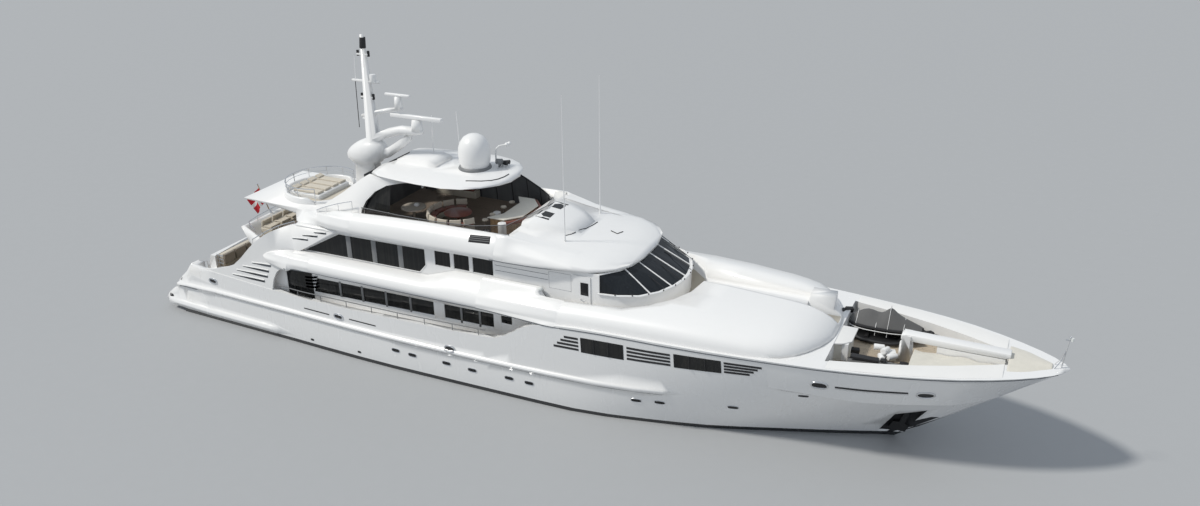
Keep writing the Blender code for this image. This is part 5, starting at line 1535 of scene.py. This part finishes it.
@dataclass
class SunDeck:
    """The sun deck with its arches, hardtop, screens, lounge and aft sunbathing ring."""

    wall: tuple = (
        (-11.9, 3.3, 12.25), (-10.5, 3.4, 12.28), (-9.0, 3.45, 12.28), (-7.5, 3.45, 12.28),
        (-6.2, 3.42, 12.2), (-4.9, 3.35, 11.75), (-3.6, 3.2, 11.25), (-2.4, 2.8, 10.9),
        (-1.4, 2.1, 10.75),
    )
    ring: Point = (-18.3, 0.0, 2.5)
    fairings: tuple = (
        Fairing(
            "shoulder", ("belt_SIDE", "hull", "coach_roof", "upper_deck"), (4.3, 5.8), (-3.2, 3.0),
            (0.0, 90.0),
        ),
        Fairing("roof_crease", ("sun_deck",), (3.0, 8.95), (-2.1, 3.6), (-2.0, 86.0)),
        Fairing(
            "arch_skirt", ("sun_deck", "arch_SIDE", "stern_wing_SIDE", "upper_house"), (3.0, 8.62),
            (-17.4, -12.2), (0.0, 72.0), foot=False,
        ),
        Fairing("belt_nose", ("belt_SIDE",), (4.8, 6.2), (-20.0, -15.6), (-85.0, 100.0), True),
    )

    def build(self, solids: Solids, soft: Upholstery) -> None:
        """Builds the sun deck."""
        deck = solids.skin("sun_deck", Looks.WHITE, 40.0)
        # the lounge floor under the hardtop is painted dark teak, as painted shade
        repaint(deck, Looks.DIM_TEAK, lambda c, n: n.z > 0.9 and 9.2 < c.z < 9.4 and -12.6 < c.x < 0.0)
        solids.skin("hardtop", Looks.WHITE, 45.0)
        for side in Side:
            for fairing in self.fairings:
                fairing.build(solids, side)
            solids.skin("arch_" + side.word, Looks.WHITE, 50.0)
            self.rails(side)
            self.vent(solids, side)
        self.screens(solids)
        self.lounge(solids, soft)
        self.sun_ring(solids, soft)
        self.roof_fittings(solids)

    def rails(self, side: Side) -> None:
        """Adds the rail that climbs beside the arch and the rail round the aft end."""
        s = side.value
        rail = Bench("sun_rails", side)
        climb = [(-15.9, 3.5, 9.55), (-15.0, 3.6, 9.95), (-14.0, 3.6, 10.3), (-12.9, 3.55, 10.6)]
        rail.tube([(x, s * y, z) for x, y, z in climb], 0.03)
        for x, y, z in climb:
            rail.rod((x, s * y, z - 0.55), (x, s * y, z), 0.02)
        angles = spread(math.pi / 2 - 0.5, math.pi, 9)
        plan = [(self.ring[0] + 2.42 * math.cos(a), s * 2.42 * math.sin(a)) for a in angles]
        for height, wire in ((10.35, 0.032), (10.05, 0.018)):
            rail.tube([(x, y, height) for x, y in plan], wire)
        for x, y in plan[::2]:
            rail.rod((x, y, 9.4), (x, y, 10.35), 0.026)
        rail.done(Looks.STEEL)

    def vent(self, solids: Solids, side: Side) -> None:
        """Adds the dark vent in the coaming's side, with its slats."""
        low = [(x, 9.72 + 0.02 * k) for k, x in enumerate(spread(-3.6, -2.15, 5))]
        high = [(x + 0.12, 10.1 + 0.02 * k) for k, x in enumerate(spread(-3.7, -2.3, 5))]
        dark = Bench("coaming_vent", side)
        strip(dark, solids, "sun_deck", side, low, high, 0.012)
        dark.done(Looks.BLACK)
        slats = Bench("coaming_slats", side)
        for k in range(1, 4):
            a = solids.side("sun_deck", -3.6, 9.72 + 0.1 * k, side, 0.03)
            b = solids.side("sun_deck", -2.2, 9.8 + 0.1 * k, side, 0.03)
            slats.tube([a, b], 0.022, fine=1)
        slats.done(Looks.FRAME_GREY)

    def screens(self, solids: Solids) -> None:
        """Adds the smoked screens round the lounge, with posts and a top rail."""
        plan = [
            (-12.0, 3.75), (-9.0, 3.95), (-6.0, 3.95), (-3.6, 3.6), (-1.9, 2.75), (-0.9, 1.6), (-0.55, 0.0),
        ]
        loop = plan + [(x, -y) for x, y in reversed(plan[:-1])]
        glass = Bench("lounge_screens")
        low, high = [], []
        for x, y in loop:
            foot = solids.top("sun_deck", x, y, 0.0, 11.6)[2]
            low.append((x, y, max(foot, 9.6)))
            high.append((x - 0.05, y * 0.99, max(foot, 10.2) + (0.18 if y < 2.8 else 0.4)))
        glass.sheet([low, high])
        glass.done(Looks.SCREEN)
        edge = Bench("lounge_screen_edge")
        edge.tube(high, 0.022, fine=1)
        edge.done(Looks.FRAME_GREY)
        wall = Bench("lounge_wall")
        foot, head = [], []
        for x, y, top in self.wall:
            foot.append((x, y, 9.32))
            head.append((x - 0.12, y * 0.97, top))
        wall.sheet([foot, head], 0.03)
        wall.sheet(
            [[(-12.3, -3.2, 9.32), (-12.3, 3.3, 9.32)], [(-12.35, -2.7, 12.25), (-12.35, 2.9, 12.25)]], 0.03,
        )
        wall.done(Looks.SMOKE)
        pane = Bench("arch_pane")
        pane.sheet(
            [[(-12.3, -3.2, 9.32), (-10.2, -3.35, 9.6)], [(-12.3, -2.7, 12.25), (-10.2, -2.8, 12.2)]], 0.03,
        )
        pane.done(Looks.GLASS)
        frames = Bench("lounge_wall_frames")
        for a, b in zip(foot, head):
            frames.rod(a, b, 0.035)
        frames.tube(head, 0.04, fine=1)
        frames.done(Looks.BLACK)

    def lounge(self, solids: Solids, soft: Upholstery) -> None:
        """Builds the bar, its stools, the sofas and the round tables under the hardtop."""
        bar = solids.skin("sun_bar", Looks.OAK)
        repaint(bar, Looks.CREAM_DECK, lambda c, n: n.z > 0.9)
        top = Bench("bar_top")
        plan = [
            (-3.75, 2.0), (-2.55, 2.0), (-1.78, 1.05), (-1.78, -1.05), (-2.55, -2.0), (-3.75, -2.0),
            (-3.12, -1.02), (-3.12, 1.02),
        ]
        top.slab(plan, 10.31, 10.37, 0.015)
        top.done(Looks.PALE_COVER)
        back = Bench("bar_back_rest")
        plan = ((-3.7, 2.1), (-2.5, 2.12), (-1.66, 1.1), (-1.66, -1.1), (-2.5, -2.12))
        back.tube([(x, y, 10.15) for x, y in plan], 0.13, fine=3)
        back.done(Looks.RUST)
        pillar = Bench("bar_pillar")
        pillar.rod((-2.5, -2.35, SUN_DECK), (-2.5, -2.35, 10.3), 0.26, 0.26, 20)
        pillar.rod((-4.0, -0.4, SUN_DECK), (-4.0, -0.4, 10.1), 0.24, 0.24, 20)
        pillar.done(Looks.WHITE, bevel=0.03)
        near = Bench("small_round_table")
        near.rod((-9.6, -1.5, SUN_DECK), (-9.6, -1.5, 9.96), 0.1, 0.08, 12)
        near.rod((-9.6, -1.5, 9.96), (-9.6, -1.5, 10.02), 0.82, 0.8, 30)
        near.done(Looks.SAND)
        lamp = Bench("table_bowl")
        lamp.ball((-9.45, -1.35, 10.12), 0.2, (1.0, 1.0, 0.6), 14)
        lamp.done(Looks.WHITE)
        solids.skin("sun_table", Looks.RUST)
        solids.skin("sun_sofa", Looks.CREAM_DECK, 60.0, 0.05)
        for k, x in enumerate((-10.2, -9.2, -8.2)):
            soft.cushion(f"lounge_seat_{k}", (x, 3.2, 9.88), (0.96, 0.7, 0.16), Looks.RUST)
            soft.cushion(
                f"lounge_back_{k}", (x, 3.6, 10.12), (0.96, 0.42, 0.14), Looks.CUSHION, (1.35, 0.0, 0.0),
            )
        angles = [math.radians(115 + 26 * k) for k in range(9)]
        base = Bench("round_settee")
        for a in angles:
            base.box(self.by_settee(a, 1.62, 9.5), (0.5, 0.78, 0.4), (0.0, 0.0, a))
        base.done(Looks.CREAM_DECK, bevel=0.05)
        for k, a in enumerate(angles):
            seat, back = self.by_settee(a, 1.6, 9.77), self.by_settee(a, 1.9, 10.02)
            soft.cushion(f"round_seat_{k}", seat, (0.52, 0.74, 0.14), Looks.RUST, (0.0, 0.0, a))
            soft.cushion(f"round_back_{k}", back, (0.44, 0.8, 0.14), Looks.CUSHION, (0.0, 1.35, a))
        stools = Bench("bar_stools")
        seats = Bench("bar_stool_seats")
        for x, y in ((-4.15, 0.7), (-4.15, -0.7), (-4.1, 1.7), (-4.1, -1.7)):
            stools.rod((x, y, SUN_DECK), (x, y, 9.98), 0.04)
            stools.rod((x, y, SUN_DECK), (x, y, 9.34), 0.2, 0.16, 14)
            seats.rod((x, y, 9.98), (x, y, 10.08), 0.2, 0.18, 14)
        stools.done(Looks.STEEL)
        seats.done(Looks.CUSHION, bevel=0.02)

    @staticmethod
    def by_settee(angle: float, reach: float, z: float) -> Point:
        """A point by its angle and reach from the round settee's middle."""
        return (-6.4 + reach * math.cos(angle), -1.2 + reach * math.sin(angle), z)

    def sun_ring(self, solids: Solids, soft: Upholstery) -> None:
        """Builds the round sunbathing platform aft, with its coaming and pads."""
        solids.skin("sun_pads", Looks.DECK_WHITE, 60.0, 0.08)
        x0, y0, reach = self.ring
        for name, finish, radius, sides, low, high, shrink in (
            ("ring_platform", Looks.WHITE, reach, 48, 9.305, 9.37, 0.03),
            ("ring_floor", Looks.CREAM_DECK, 0.8 * reach, 40, 9.37, 9.38, 0.0),
        ):
            disc = Bench(name)
            turns = spread(0.0, 2 * math.pi, sides + 1)[:-1]
            outline = [(x0 + radius * math.cos(a), y0 + radius * math.sin(a)) for a in turns]
            disc.slab(outline, low, high, shrink)
            disc.done(finish)
        rim = Bench("ring_coaming")
        arc = [
            (math.cos(a), math.sin(a), min(1.0, 4.0 * (0.52 - math.cos(a))))
            for a in spread(1.1, 2 * math.pi - 1.1, 41)
        ]
        profile = ((2.56, SUN_DECK), (2.53, 9.68), (2.48, 9.74), (2.34, 9.74), (2.3, 9.68), (2.28, 9.36))
        rows = []
        for r, z in profile:
            rise = z - SUN_DECK
            rows.append([(x0 + r * c, y0 + r * s, SUN_DECK + rise * max(0.0, k)) for c, s, k in arc])
        rim.sheet(rows, 0.02)
        rim.done(Looks.WHITE, smooth=60.0)
        for k, y in enumerate((-1.2, -0.4, 0.4, 1.2)):
            soft.cushion(f"sun_pad_{k}", (-18.45, y, 9.78), (2.3, 0.7, 0.15), Looks.CUSHION)
            soft.cushion(
                f"sun_head_{k}", (-19.45, y, 9.94), (0.42, 0.62, 0.14), Looks.CUSHION, (0.0, 0.35, 0.0),
            )

    def roof_fittings(self, solids: Solids) -> None:
        """Adds the whip aerials, the cable and the hatch's edge on the roof, and the skylight panes."""
        whips = Bench("whip_aerials")
        for y in (2.5, -2.5):
            foot = solids.top("sun_deck", 1.9, y, 0.0, 12.0)
            whips.rod(foot, (1.9, y, foot[2] + 0.5), 0.06, 0.04)
            whips.rod((1.9, y, foot[2] + 0.5), (1.95, y * 1.01, foot[2] + 8.9), 0.036, 0.016, 6)
        whips.done(Looks.WHITE)
        cable = Bench("roof_cable")
        path = [(1.6, -1.95), (1.85, -1.5), (2.1, -0.8), (2.25, -0.27), (2.36, 0.4), (2.4, 1.02)]
        cable.tube([solids.top("sun_deck", x, y, 0.015, 12.0) for x, y in path], 0.025, fine=1)
        hatch = [(3.62, 0.35), (4.11, 0.2), (4.26, 0.72)]
        cable.tube([solids.top("sun_deck", x, y, 0.015, 12.0) for x, y in hatch], 0.03, fine=1)
        cable.done(Looks.BLACK)
        panes = Bench("skylight_panes")
        for s in (1, -1):
            rows = []
            for step in (0.0, 0.45, 0.9):
                edge = ((-0.75, 0.4), (-0.72, 0.9), (-0.66, 1.4))
                rows.append([solids.top("sun_deck", x + step, s * y, 0.015, 12.0) for x, y in edge])
            panes.sheet(rows, 0.012)
        panes.done(Looks.GLASS)


@dataclass
class Masthead:
    """The mast, its radars, lamps and aerials, and the radome."""

    shelves: tuple = (
        (-13.92, -13.1, 19.35), (-14.5, -12.75, 17.6), (-13.95, -13.05, 16.55), (-14.0, -13.1, 15.1),
    )

    def build(self, solids: Solids) -> None:
        """Builds the mast group."""
        solids.skin("mast", Looks.WHITE, 40.0)
        solids.skin("radome", Looks.WHITE, 60.0)
        for node in ("radar_lower", "radar_upper"):
            solids.skin(node, Looks.WHITE)
        yards = Bench("mast_yards")
        for x0, x1, z in self.shelves:
            yards.box(((x0 + x1) / 2, 0.0, z), (x1 - x0, 0.32, 0.1))
        yards.rod((-12.95, 0.0, 17.62), (-12.95, 0.0, 18.08), 0.22, 0.2, 16)
        yards.rod((-14.34, 0.0, 17.6), (-14.24, 0.0, 19.2), 0.035, 0.02, 6)
        yards.rod((-9.36, 0.92, 13.0), (-9.3, 0.92, 15.5), 0.045, 0.025, 8)
        yards.rod((-8.0, 2.0, 12.8), (-8.1, 2.0, 15.6), 0.045, 0.025, 8)
        yards.done(Looks.WHITE, bevel=0.01)
        lamps = Bench("mast_lamps")
        lamps.rod((-13.49, 0.0, 19.75), (-13.43, 0.0, 20.42), 0.21, 0.19, 16)
        for x0, x1, z in (self.shelves[0], self.shelves[2]):
            for x in (x0, x1):
                lamps.rod((x, 0.0, z - 0.14), (x, 0.0, z + 0.22), 0.09)
        lamps.done(Looks.BLACK, bevel=0.01)
        wires = Bench("mast_aerials")
        wires.rod((-14.46, 0.0, 14.4), (-14.37, 0.0, 17.55), 0.025, 0.025, 6)
        wires.done(Looks.BLACK)
        ring = Bench("radome_ring")
        ring.rod((-5.65, 0.0, 12.74), (-5.65, 0.0, 12.9), 1.08, 1.0, 36)
        ring.done(Looks.FRAME_GREY, bevel=0.03)
        lamp = Bench("searchlight")
        lamp.rod((-4.3, 0.7, 12.5), (-4.3, 0.7, 12.95), 0.06)
        lamp.rod((-4.5, 0.7, 13.08), (-4.1, 0.75, 13.08), 0.17, 0.2, 16)
        lamp.done(Looks.FRAME_GREY, bevel=0.01)
        horn = Bench("horns")
        for y in (1.0, 1.3):
            horn.rod((-4.5, y, 12.9), (-3.9, y + 0.05, 12.9), 0.05, 0.14, 14)
            horn.rod((-4.4, y, 12.6), (-4.4, y, 12.88), 0.04)
        horn.done(Looks.BLACK)
        cable = Bench("hardtop_cable")
        path = [(-5.0, -2.2), (-4.1, -1.85), (-3.6, -1.5), (-3.35, -1.1), (-3.2, -0.6), (-3.15, -0.1)]
        cable.tube([solids.top("hardtop", x, y, 0.02, 14.0) for x, y in path], 0.03, fine=1)
        cable.done(Looks.BLACK)
        arm = Bench("lamp_arm")
        foot = solids.top("hardtop", -4.78, 1.15, 0.0, 14.0)
        bends = [(-4.76, 1.12, 13.5), (-4.7, 1.14, 13.78), (-4.55, 1.24, 13.93), (-4.2, 1.5, 14.0)]
        arm.tube([foot] + bends, 0.05)
        arm.ball((-4.1, 1.42, 14.03), 0.13)
        arm.ball((-4.1, 1.75, 14.0), 0.13)
        arm.done(Looks.WHITE)


@dataclass
class Foredeck:
    """The coach roof, the foredeck's boats, crane, covers and bollards."""

    def build(self, solids: Solids) -> None:
        """Builds the foredeck."""
        roof = solids.skin("coach_roof", Looks.WHITE, 40.0)
        repaint(roof, Looks.CREAM_DECK, lambda c, n: n.z > 0.9 and 6.3 < c.z < 6.5)
        for node in ("crane_cradle", "crane_pedestal", "crane_boom", "deck_locker"):
            solids.skin(node, Looks.WHITE)
        self.crane()
        self.port_boat()
        self.starboard_craft()
        self.windlass()
        self.clutter()
        self.bow_cover()
        self.bollards()
        for side in Side:
            # the anchors' near-black finish is painted shade
            solids.skin("anchor_" + side.word, Looks.CAST)

    def crane(self) -> None:
        """Adds the boom's ram."""
        ram = Bench("crane_ram")
        ram.rod((22.5, 0.0, 6.28), (24.2, 0.0, 6.3), 0.06)
        ram.rod((24.2, 0.0, 6.3), (25.2, 0.0, 6.32), 0.035)
        ram.done(Looks.STEEL, body="crane_arm")

    def port_boat(self) -> None:
        """Lays a peaked cloth cover over the tender on the port side."""
        stations = (
            (18.22, 0.62, 5.45, 6.02), (18.6, 0.98, 5.3, 6.32), (19.15, 1.16, 5.2, 6.66),
            (19.75, 1.18, 5.2, 6.38), (20.1, 1.18, 5.2, 6.5), (20.43, 1.16, 5.2, 6.98),
            (20.75, 1.1, 5.2, 6.62), (21.3, 0.92, 5.25, 6.32), (21.8, 0.68, 5.35, 6.12),
            (22.28, 0.34, 5.5, 5.95),
        )
        keel_y, ridge_y = 2.2, 2.46
        rows = []
        for x, wide, _, high in stations:
            row = []
            for k in range(17):
                t = -1 + k / 8
                edge = abs(t)
                z = 5.78 + (high - 5.78) * (1 - edge**1.25) + 0.03 * math.sin(x * 9 + t * 4) * (1 - edge)
                row.append((x, ridge_y + wide * 0.66 * t, z))
            rows.append(row)
        cover = Bench("tender_cover")
        cover.sheet(rows, 0.03)
        cover.done(Looks.COVER, smooth=60.0, rounds=1)
        # the shell and chocks are black as painted shade under the cover; the tubes are black rubber
        boat = Bench("tender_hull")
        shell = []
        for x, wide, low, _ in stations:
            shares = (-0.96, -0.8, -0.4, 0.0, 0.4, 0.8, 0.96)
            shell.append([(x, keel_y + wide * c, low - 0.14 * (1 - abs(c)) - 0.02) for c in shares])
        boat.sheet(shell, 0.04)
        for s in (-1, 1):
            boat.tube([(x, keel_y + s * wide, low) for x, wide, low, _ in stations], 0.1, fine=3)
            boat.tube([(x, ridge_y + s * wide * 0.66, 5.72) for x, wide, low, _ in stations], 0.09)
        boat.box((19.3, keel_y, 5.12), (0.2, 1.4, 0.22))
        boat.box((21.2, keel_y, 5.12), (0.2, 1.1, 0.22))
        hull = boat.done(Looks.BLACK)
        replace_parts(hull, "tender_port")
        ropes = Bench("tender_lashings")
        for x, wide, _, high in stations[1:9:2]:
            for s in (-1, 1):
                foot = (x, ridge_y + s * (wide * 0.66 + 0.08), 5.3)
                bend = (x, ridge_y + s * wide * 0.68, 5.8)
                ropes.tube([foot, bend, (x, ridge_y, high + 0.03)], 0.016, fine=1)
        ropes.tube([(x, ridge_y - wide * 0.68 - 0.1, 5.6) for x, wide, _, _ in stations], 0.025, fine=1)
        ropes.done(Looks.WHITE)

    def starboard_craft(self) -> None:
        """Models the small jet craft on the starboard side."""
        stations = (
            (18.97, 0.4, 5.28, 5.5), (19.3, 0.5, 5.14, 5.66), (19.9, 0.54, 5.08, 5.74),
            (20.7, 0.54, 5.06, 5.8), (21.5, 0.5, 5.06, 5.84), (22.2, 0.38, 5.12, 5.78),
            (22.83, 0.12, 5.4, 5.66),
        )
        keel_y = -2.2
        rows = []
        for x, wide, low, high in stations:
            ring = []
            for k in range(13):
                a = math.pi * k / 12
                ring.append((x, keel_y + wide * math.cos(a), low + (high - low) * math.sin(a) ** 0.7))
            rows.append(ring)
        body = Bench("craft_body")
        body.sheet(rows, 0.04)
        craft = body.done(Looks.COVER, rounds=1, smooth=60.0)
        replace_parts(craft, "tender_starboard")
        dark = Bench("craft_trim")
        for s in (-1, 1):
            dark.tube([(x, keel_y + s * wide * 1.02, low + 0.12) for x, wide, low, _ in stations], 0.075)
        dark.box((19.9, keel_y, 5.82), (1.5, 0.4, 0.16))
        dark.box((20.9, keel_y, 5.9), (0.3, 0.3, 0.1))
        dark.tube([(21.0, -2.6, 5.95), (20.95, keel_y, 5.97), (21.0, -1.8, 5.95)], 0.03, fine=1)
        dark.box((19.5, keel_y, 5.06), (0.2, 0.9, 0.08))
        dark.box((21.6, keel_y, 5.06), (0.2, 0.8, 0.08))
        dark.done(Looks.BLACK, bevel=0.03)

    def clutter(self) -> None:
        """Adds the locker steps, the gear by the crane, and the cover over the starboard bow."""
        steps = Bench("walk_steps")
        plan = [(17.2, -1.75), (17.9, -1.72), (18.5, -1.5), (18.9, -1.1), (18.9, -0.1), (17.2, -0.1)]
        steps.slab(plan, 5.0, 6.02, 0.03)
        steps.done(Looks.PALE_COVER)
        lid = Bench("walk_steps_lid")
        plan = [(16.9, -1.82), (17.95, -1.8), (18.58, -1.56), (18.98, -1.14), (18.98, 0.6), (16.9, 0.6)]
        lid.slab(plan, 6.04, 6.12, 0.03)
        lid.done(Looks.DECK_WHITE)
        rolls = Bench("deck_gear_pale")
        for x, y, z, turn in (
            (20.35, -0.25, 5.62, 0.3), (20.75, -0.55, 5.66, 1.2), (21.2, -0.95, 5.55, 0.7),
            (20.6, -1.0, 5.4, 2.0),
        ):
            dx, dy = 0.3 * math.cos(turn), 0.3 * math.sin(turn)
            rolls.rod((x - dx, y - dy, z), (x + dx, y + dy, z), 0.19, 0.15, 14)
        rolls.box((20.9, -0.4, 5.3), (0.8, 0.6, 0.5), (0.0, 0.0, 0.3))
        rolls.done(Looks.WHITE, bevel=0.05)
        dark = Bench("deck_gear_dark")
        for x, y, z, turn in (
            (20.3, -1.1, 5.18, 0.4), (21.3, -1.5, 5.25, 1.1), (21.9, -1.2, 5.3, 0.2), (18.0, 2.75, 6.1, 0.5),
            (17.7, 2.5, 6.05, 1.2), (19.1, -0.6, 5.3, 0.3), (22.7, 2.45, 5.62, 0.9),
        ):
            dark.box((x, y, z), (0.5, 0.3, 0.3), (0.2, 0.1, turn))
        dark.done(Looks.BLACK, bevel=0.06)
        sheet = Bench("bow_tarpaulin")
        rows = []
        for x in spread(22.25, 27.0, 22):
            outer = along(WELL_RIM, x) + 0.12
            row = []
            for share in spread(0.0, 1.0, 12):
                y = 0.38 + (outer - 0.38) * share
                ripple = 0.09 * math.sin(x * 3.1 + share * 3.0) * math.cos(share * 5.0 + x)
                sag = 0.14 * (1 - share) ** 3
                row.append((x, -y, 6.1 + (ripple - sag) * (1 - share * 0.6)))
            rows.append(row)
        sheet.sheet(rows, 0.03)
        sheet.done(Looks.PALE_COVER, smooth=60.0)

    def windlass(self) -> None:
        """Drapes pale covers over the windlasses."""
        for side in (Side.STARBOARD, Side.PORT):
            rows = []
            for i, x in enumerate(spread(24.22, 26.58, 13)):
                limit = min(0.72, 0.98 - 0.19 * (x - 24.2))
                middle = side.value * (1.0 - 0.11 * (x - 24.2)) * 0.92
                crown = 0.35 + 0.65 * math.sin(math.pi * (i + 1.2) / 14.4) ** 0.7
                row = []
                for t in spread(-1.0, 1.0, 11):
                    dome = (1 - abs(t) ** 2.4) * crown
                    bumps = 0.07 * math.sin(x * 5.0) * math.cos(t * 3.0 + x)
                    row.append((x, middle + t * limit * 0.8, 5.02 + 0.55 * dome + bumps * dome))
                rows.append(row)
            cover = Bench("windlass_cover", side)
            cover.sheet(rows, 0.03)
            piece = cover.done(Looks.PALE_COVER, rounds=1, smooth=60.0)
            if side is Side.STARBOARD:
                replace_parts(piece, "windlass")

    def bow_cover(self) -> None:
        """Lays the pale cover over the bow locker and the chain stoppers."""
        pad = Bench("bow_cover")
        rows = []
        for x in spread(27.05, 29.2, 9):
            reach = along(((27.0, 1.5), (28.0, 1.2), (29.2, 0.4)), x)
            row = []
            for k in range(9):
                t = -1 + k / 4
                row.append((x, reach * t, 6.3 + 0.14 * (1 - t * t) - 0.02 * (x - 27.0)))
            rows.append(row)
        pad.sheet(rows, 0.03)
        pad.done(Looks.PALE_COVER, rounds=1, smooth=60.0)

    def bollards(self) -> None:
        """Adds the mooring bollards in the foredeck's well."""
        bits = Bench("bow_bollards")
        for s in (1, -1):
            for x in (19.2, 23.6):
                y = along(WELL_RIM, x) - 0.3
                for step in (-0.16, 0.16):
                    bits.rod((x + step, s * y, 5.0), (x + step, s * y, 5.34), 0.07, 0.07, 12)
                    bits.rod((x + step, s * y, 5.34), (x + step, s * y, 5.38), 0.1, 0.1, 12)
        bits.done(Looks.STEEL)


@dataclass
class RunningGear:
    """What lies below the water: shafts, propellers, rudders and fins."""

    def build(self, solids: Solids) -> None:
        """Paints the running gear and adds the rudders' anodes."""
        for side in Side:
            s = side.value
            solids.skin("shaft_" + side.word, Looks.STEEL)
            solids.skin("propeller_" + side.word, Looks.BRONZE)
            solids.skin("rudder_" + side.word, Looks.HULL)
            solids.skin("stabiliser_" + side.word, Looks.HULL)
            anodes = Bench("anodes", side)
            for x in (-27.0, -26.6):
                anodes.box((x, s * 2.23, -1.6), (0.3, 0.05, 0.12))
            anodes.done(Looks.CAST, body="rudder_" + side.word + "_blade", bevel=0.015)


@dataclass
class Studio:
    """The floor at the waterline, the lights and the camera of the photograph."""

    place: Point = (13.56, -25.68, 16.585)
    azimuth: float = 25.14
    elevation: float = 23.68
    roll: float = -0.83
    lens: float = 30.0

    def build(self) -> None:
        """Builds the studio."""
        self.floor()
        self.lights()
        self.camera()

    def floor(self) -> None:
        """Lays a plain pale floor at the waterline."""
        bpy.ops.object.select_all(action="DESELECT")
        bpy.ops.mesh.primitive_plane_add(size=600.0, location=(0.0, 0.0, 0.0))
        floor = bpy.context.object
        floor.name = "studio_floor"
        paint(floor, Finish("Studio floor", "hull_paint", (0.4, 0.41, 0.42), 0.75, mottle=0.01))

    def lights(self) -> None:
        """Sets a high soft sun from aft of the starboard beam, and a pale sky."""
        world = bpy.data.worlds.new("Studio sky")
        bpy.context.scene.world = world
        world.use_nodes = True
        sky = world.node_tree.nodes["Background"]
        sky.inputs["Color"].default_value = (0.76, 0.83, 0.92, 1.0)
        sky.inputs["Strength"].default_value = 0.62
        bpy.context.scene.view_settings.view_transform = "Standard"
        bpy.ops.object.light_add(type="SUN")
        sun = bpy.context.object
        sun.data.energy = 2.4
        sun.data.angle = math.radians(6.0)
        sun.data.color = (1.0, 0.965, 0.9)
        to_light = Vector((-0.62, -0.42, 0.9))
        sun.rotation_euler = to_light.to_track_quat("Z", "Y").to_euler()

    def camera(self) -> None:
        """Places the camera at the photograph's angle."""
        az, el, roll = (math.radians(v) for v in (self.azimuth, self.elevation, self.roll))
        back = Vector((math.sin(az) * math.cos(el), -math.cos(az) * math.cos(el), math.sin(el)))
        right = Vector((0.0, 0.0, 1.0)).cross(back).normalized()
        up = back.cross(right)
        level = right * math.cos(roll) + up * math.sin(roll)
        crown = up * math.cos(roll) - right * math.sin(roll)
        turn = Matrix((level, crown, back)).transposed()
        bpy.ops.object.camera_add(location=self.place, rotation=turn.to_euler())
        camera = bpy.context.object
        camera.data.lens = self.lens
        camera.data.sensor_width = 36.0
        camera.data.clip_end = 500.0
        bpy.context.scene.camera = camera


def corners(box: object) -> list[list[float]]:
    """Turns a box into plain lists of numbers."""
    return [[round(float(c), 5) for c in corner] for corner in box]


def main() -> None:
    """Loads the frame and dresses it."""
    logging.basicConfig(level=logging.INFO, format="%(message)s")
    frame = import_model()
    bpy.ops.object.select_all(action="DESELECT")
    solids = Solids(frame["nodes"])
    soft = Upholstery()
    Studio().build()
    Topsides().build(solids)
    Stern().build(solids, soft)
    MainDeck().build(solids)
    UpperDeck().build(solids, soft)
    SunDeck().build(solids, soft)
    Masthead().build(solids)
    Foredeck().build(solids)
    RunningGear().build(solids)


if __name__ == "__main__":
    main()
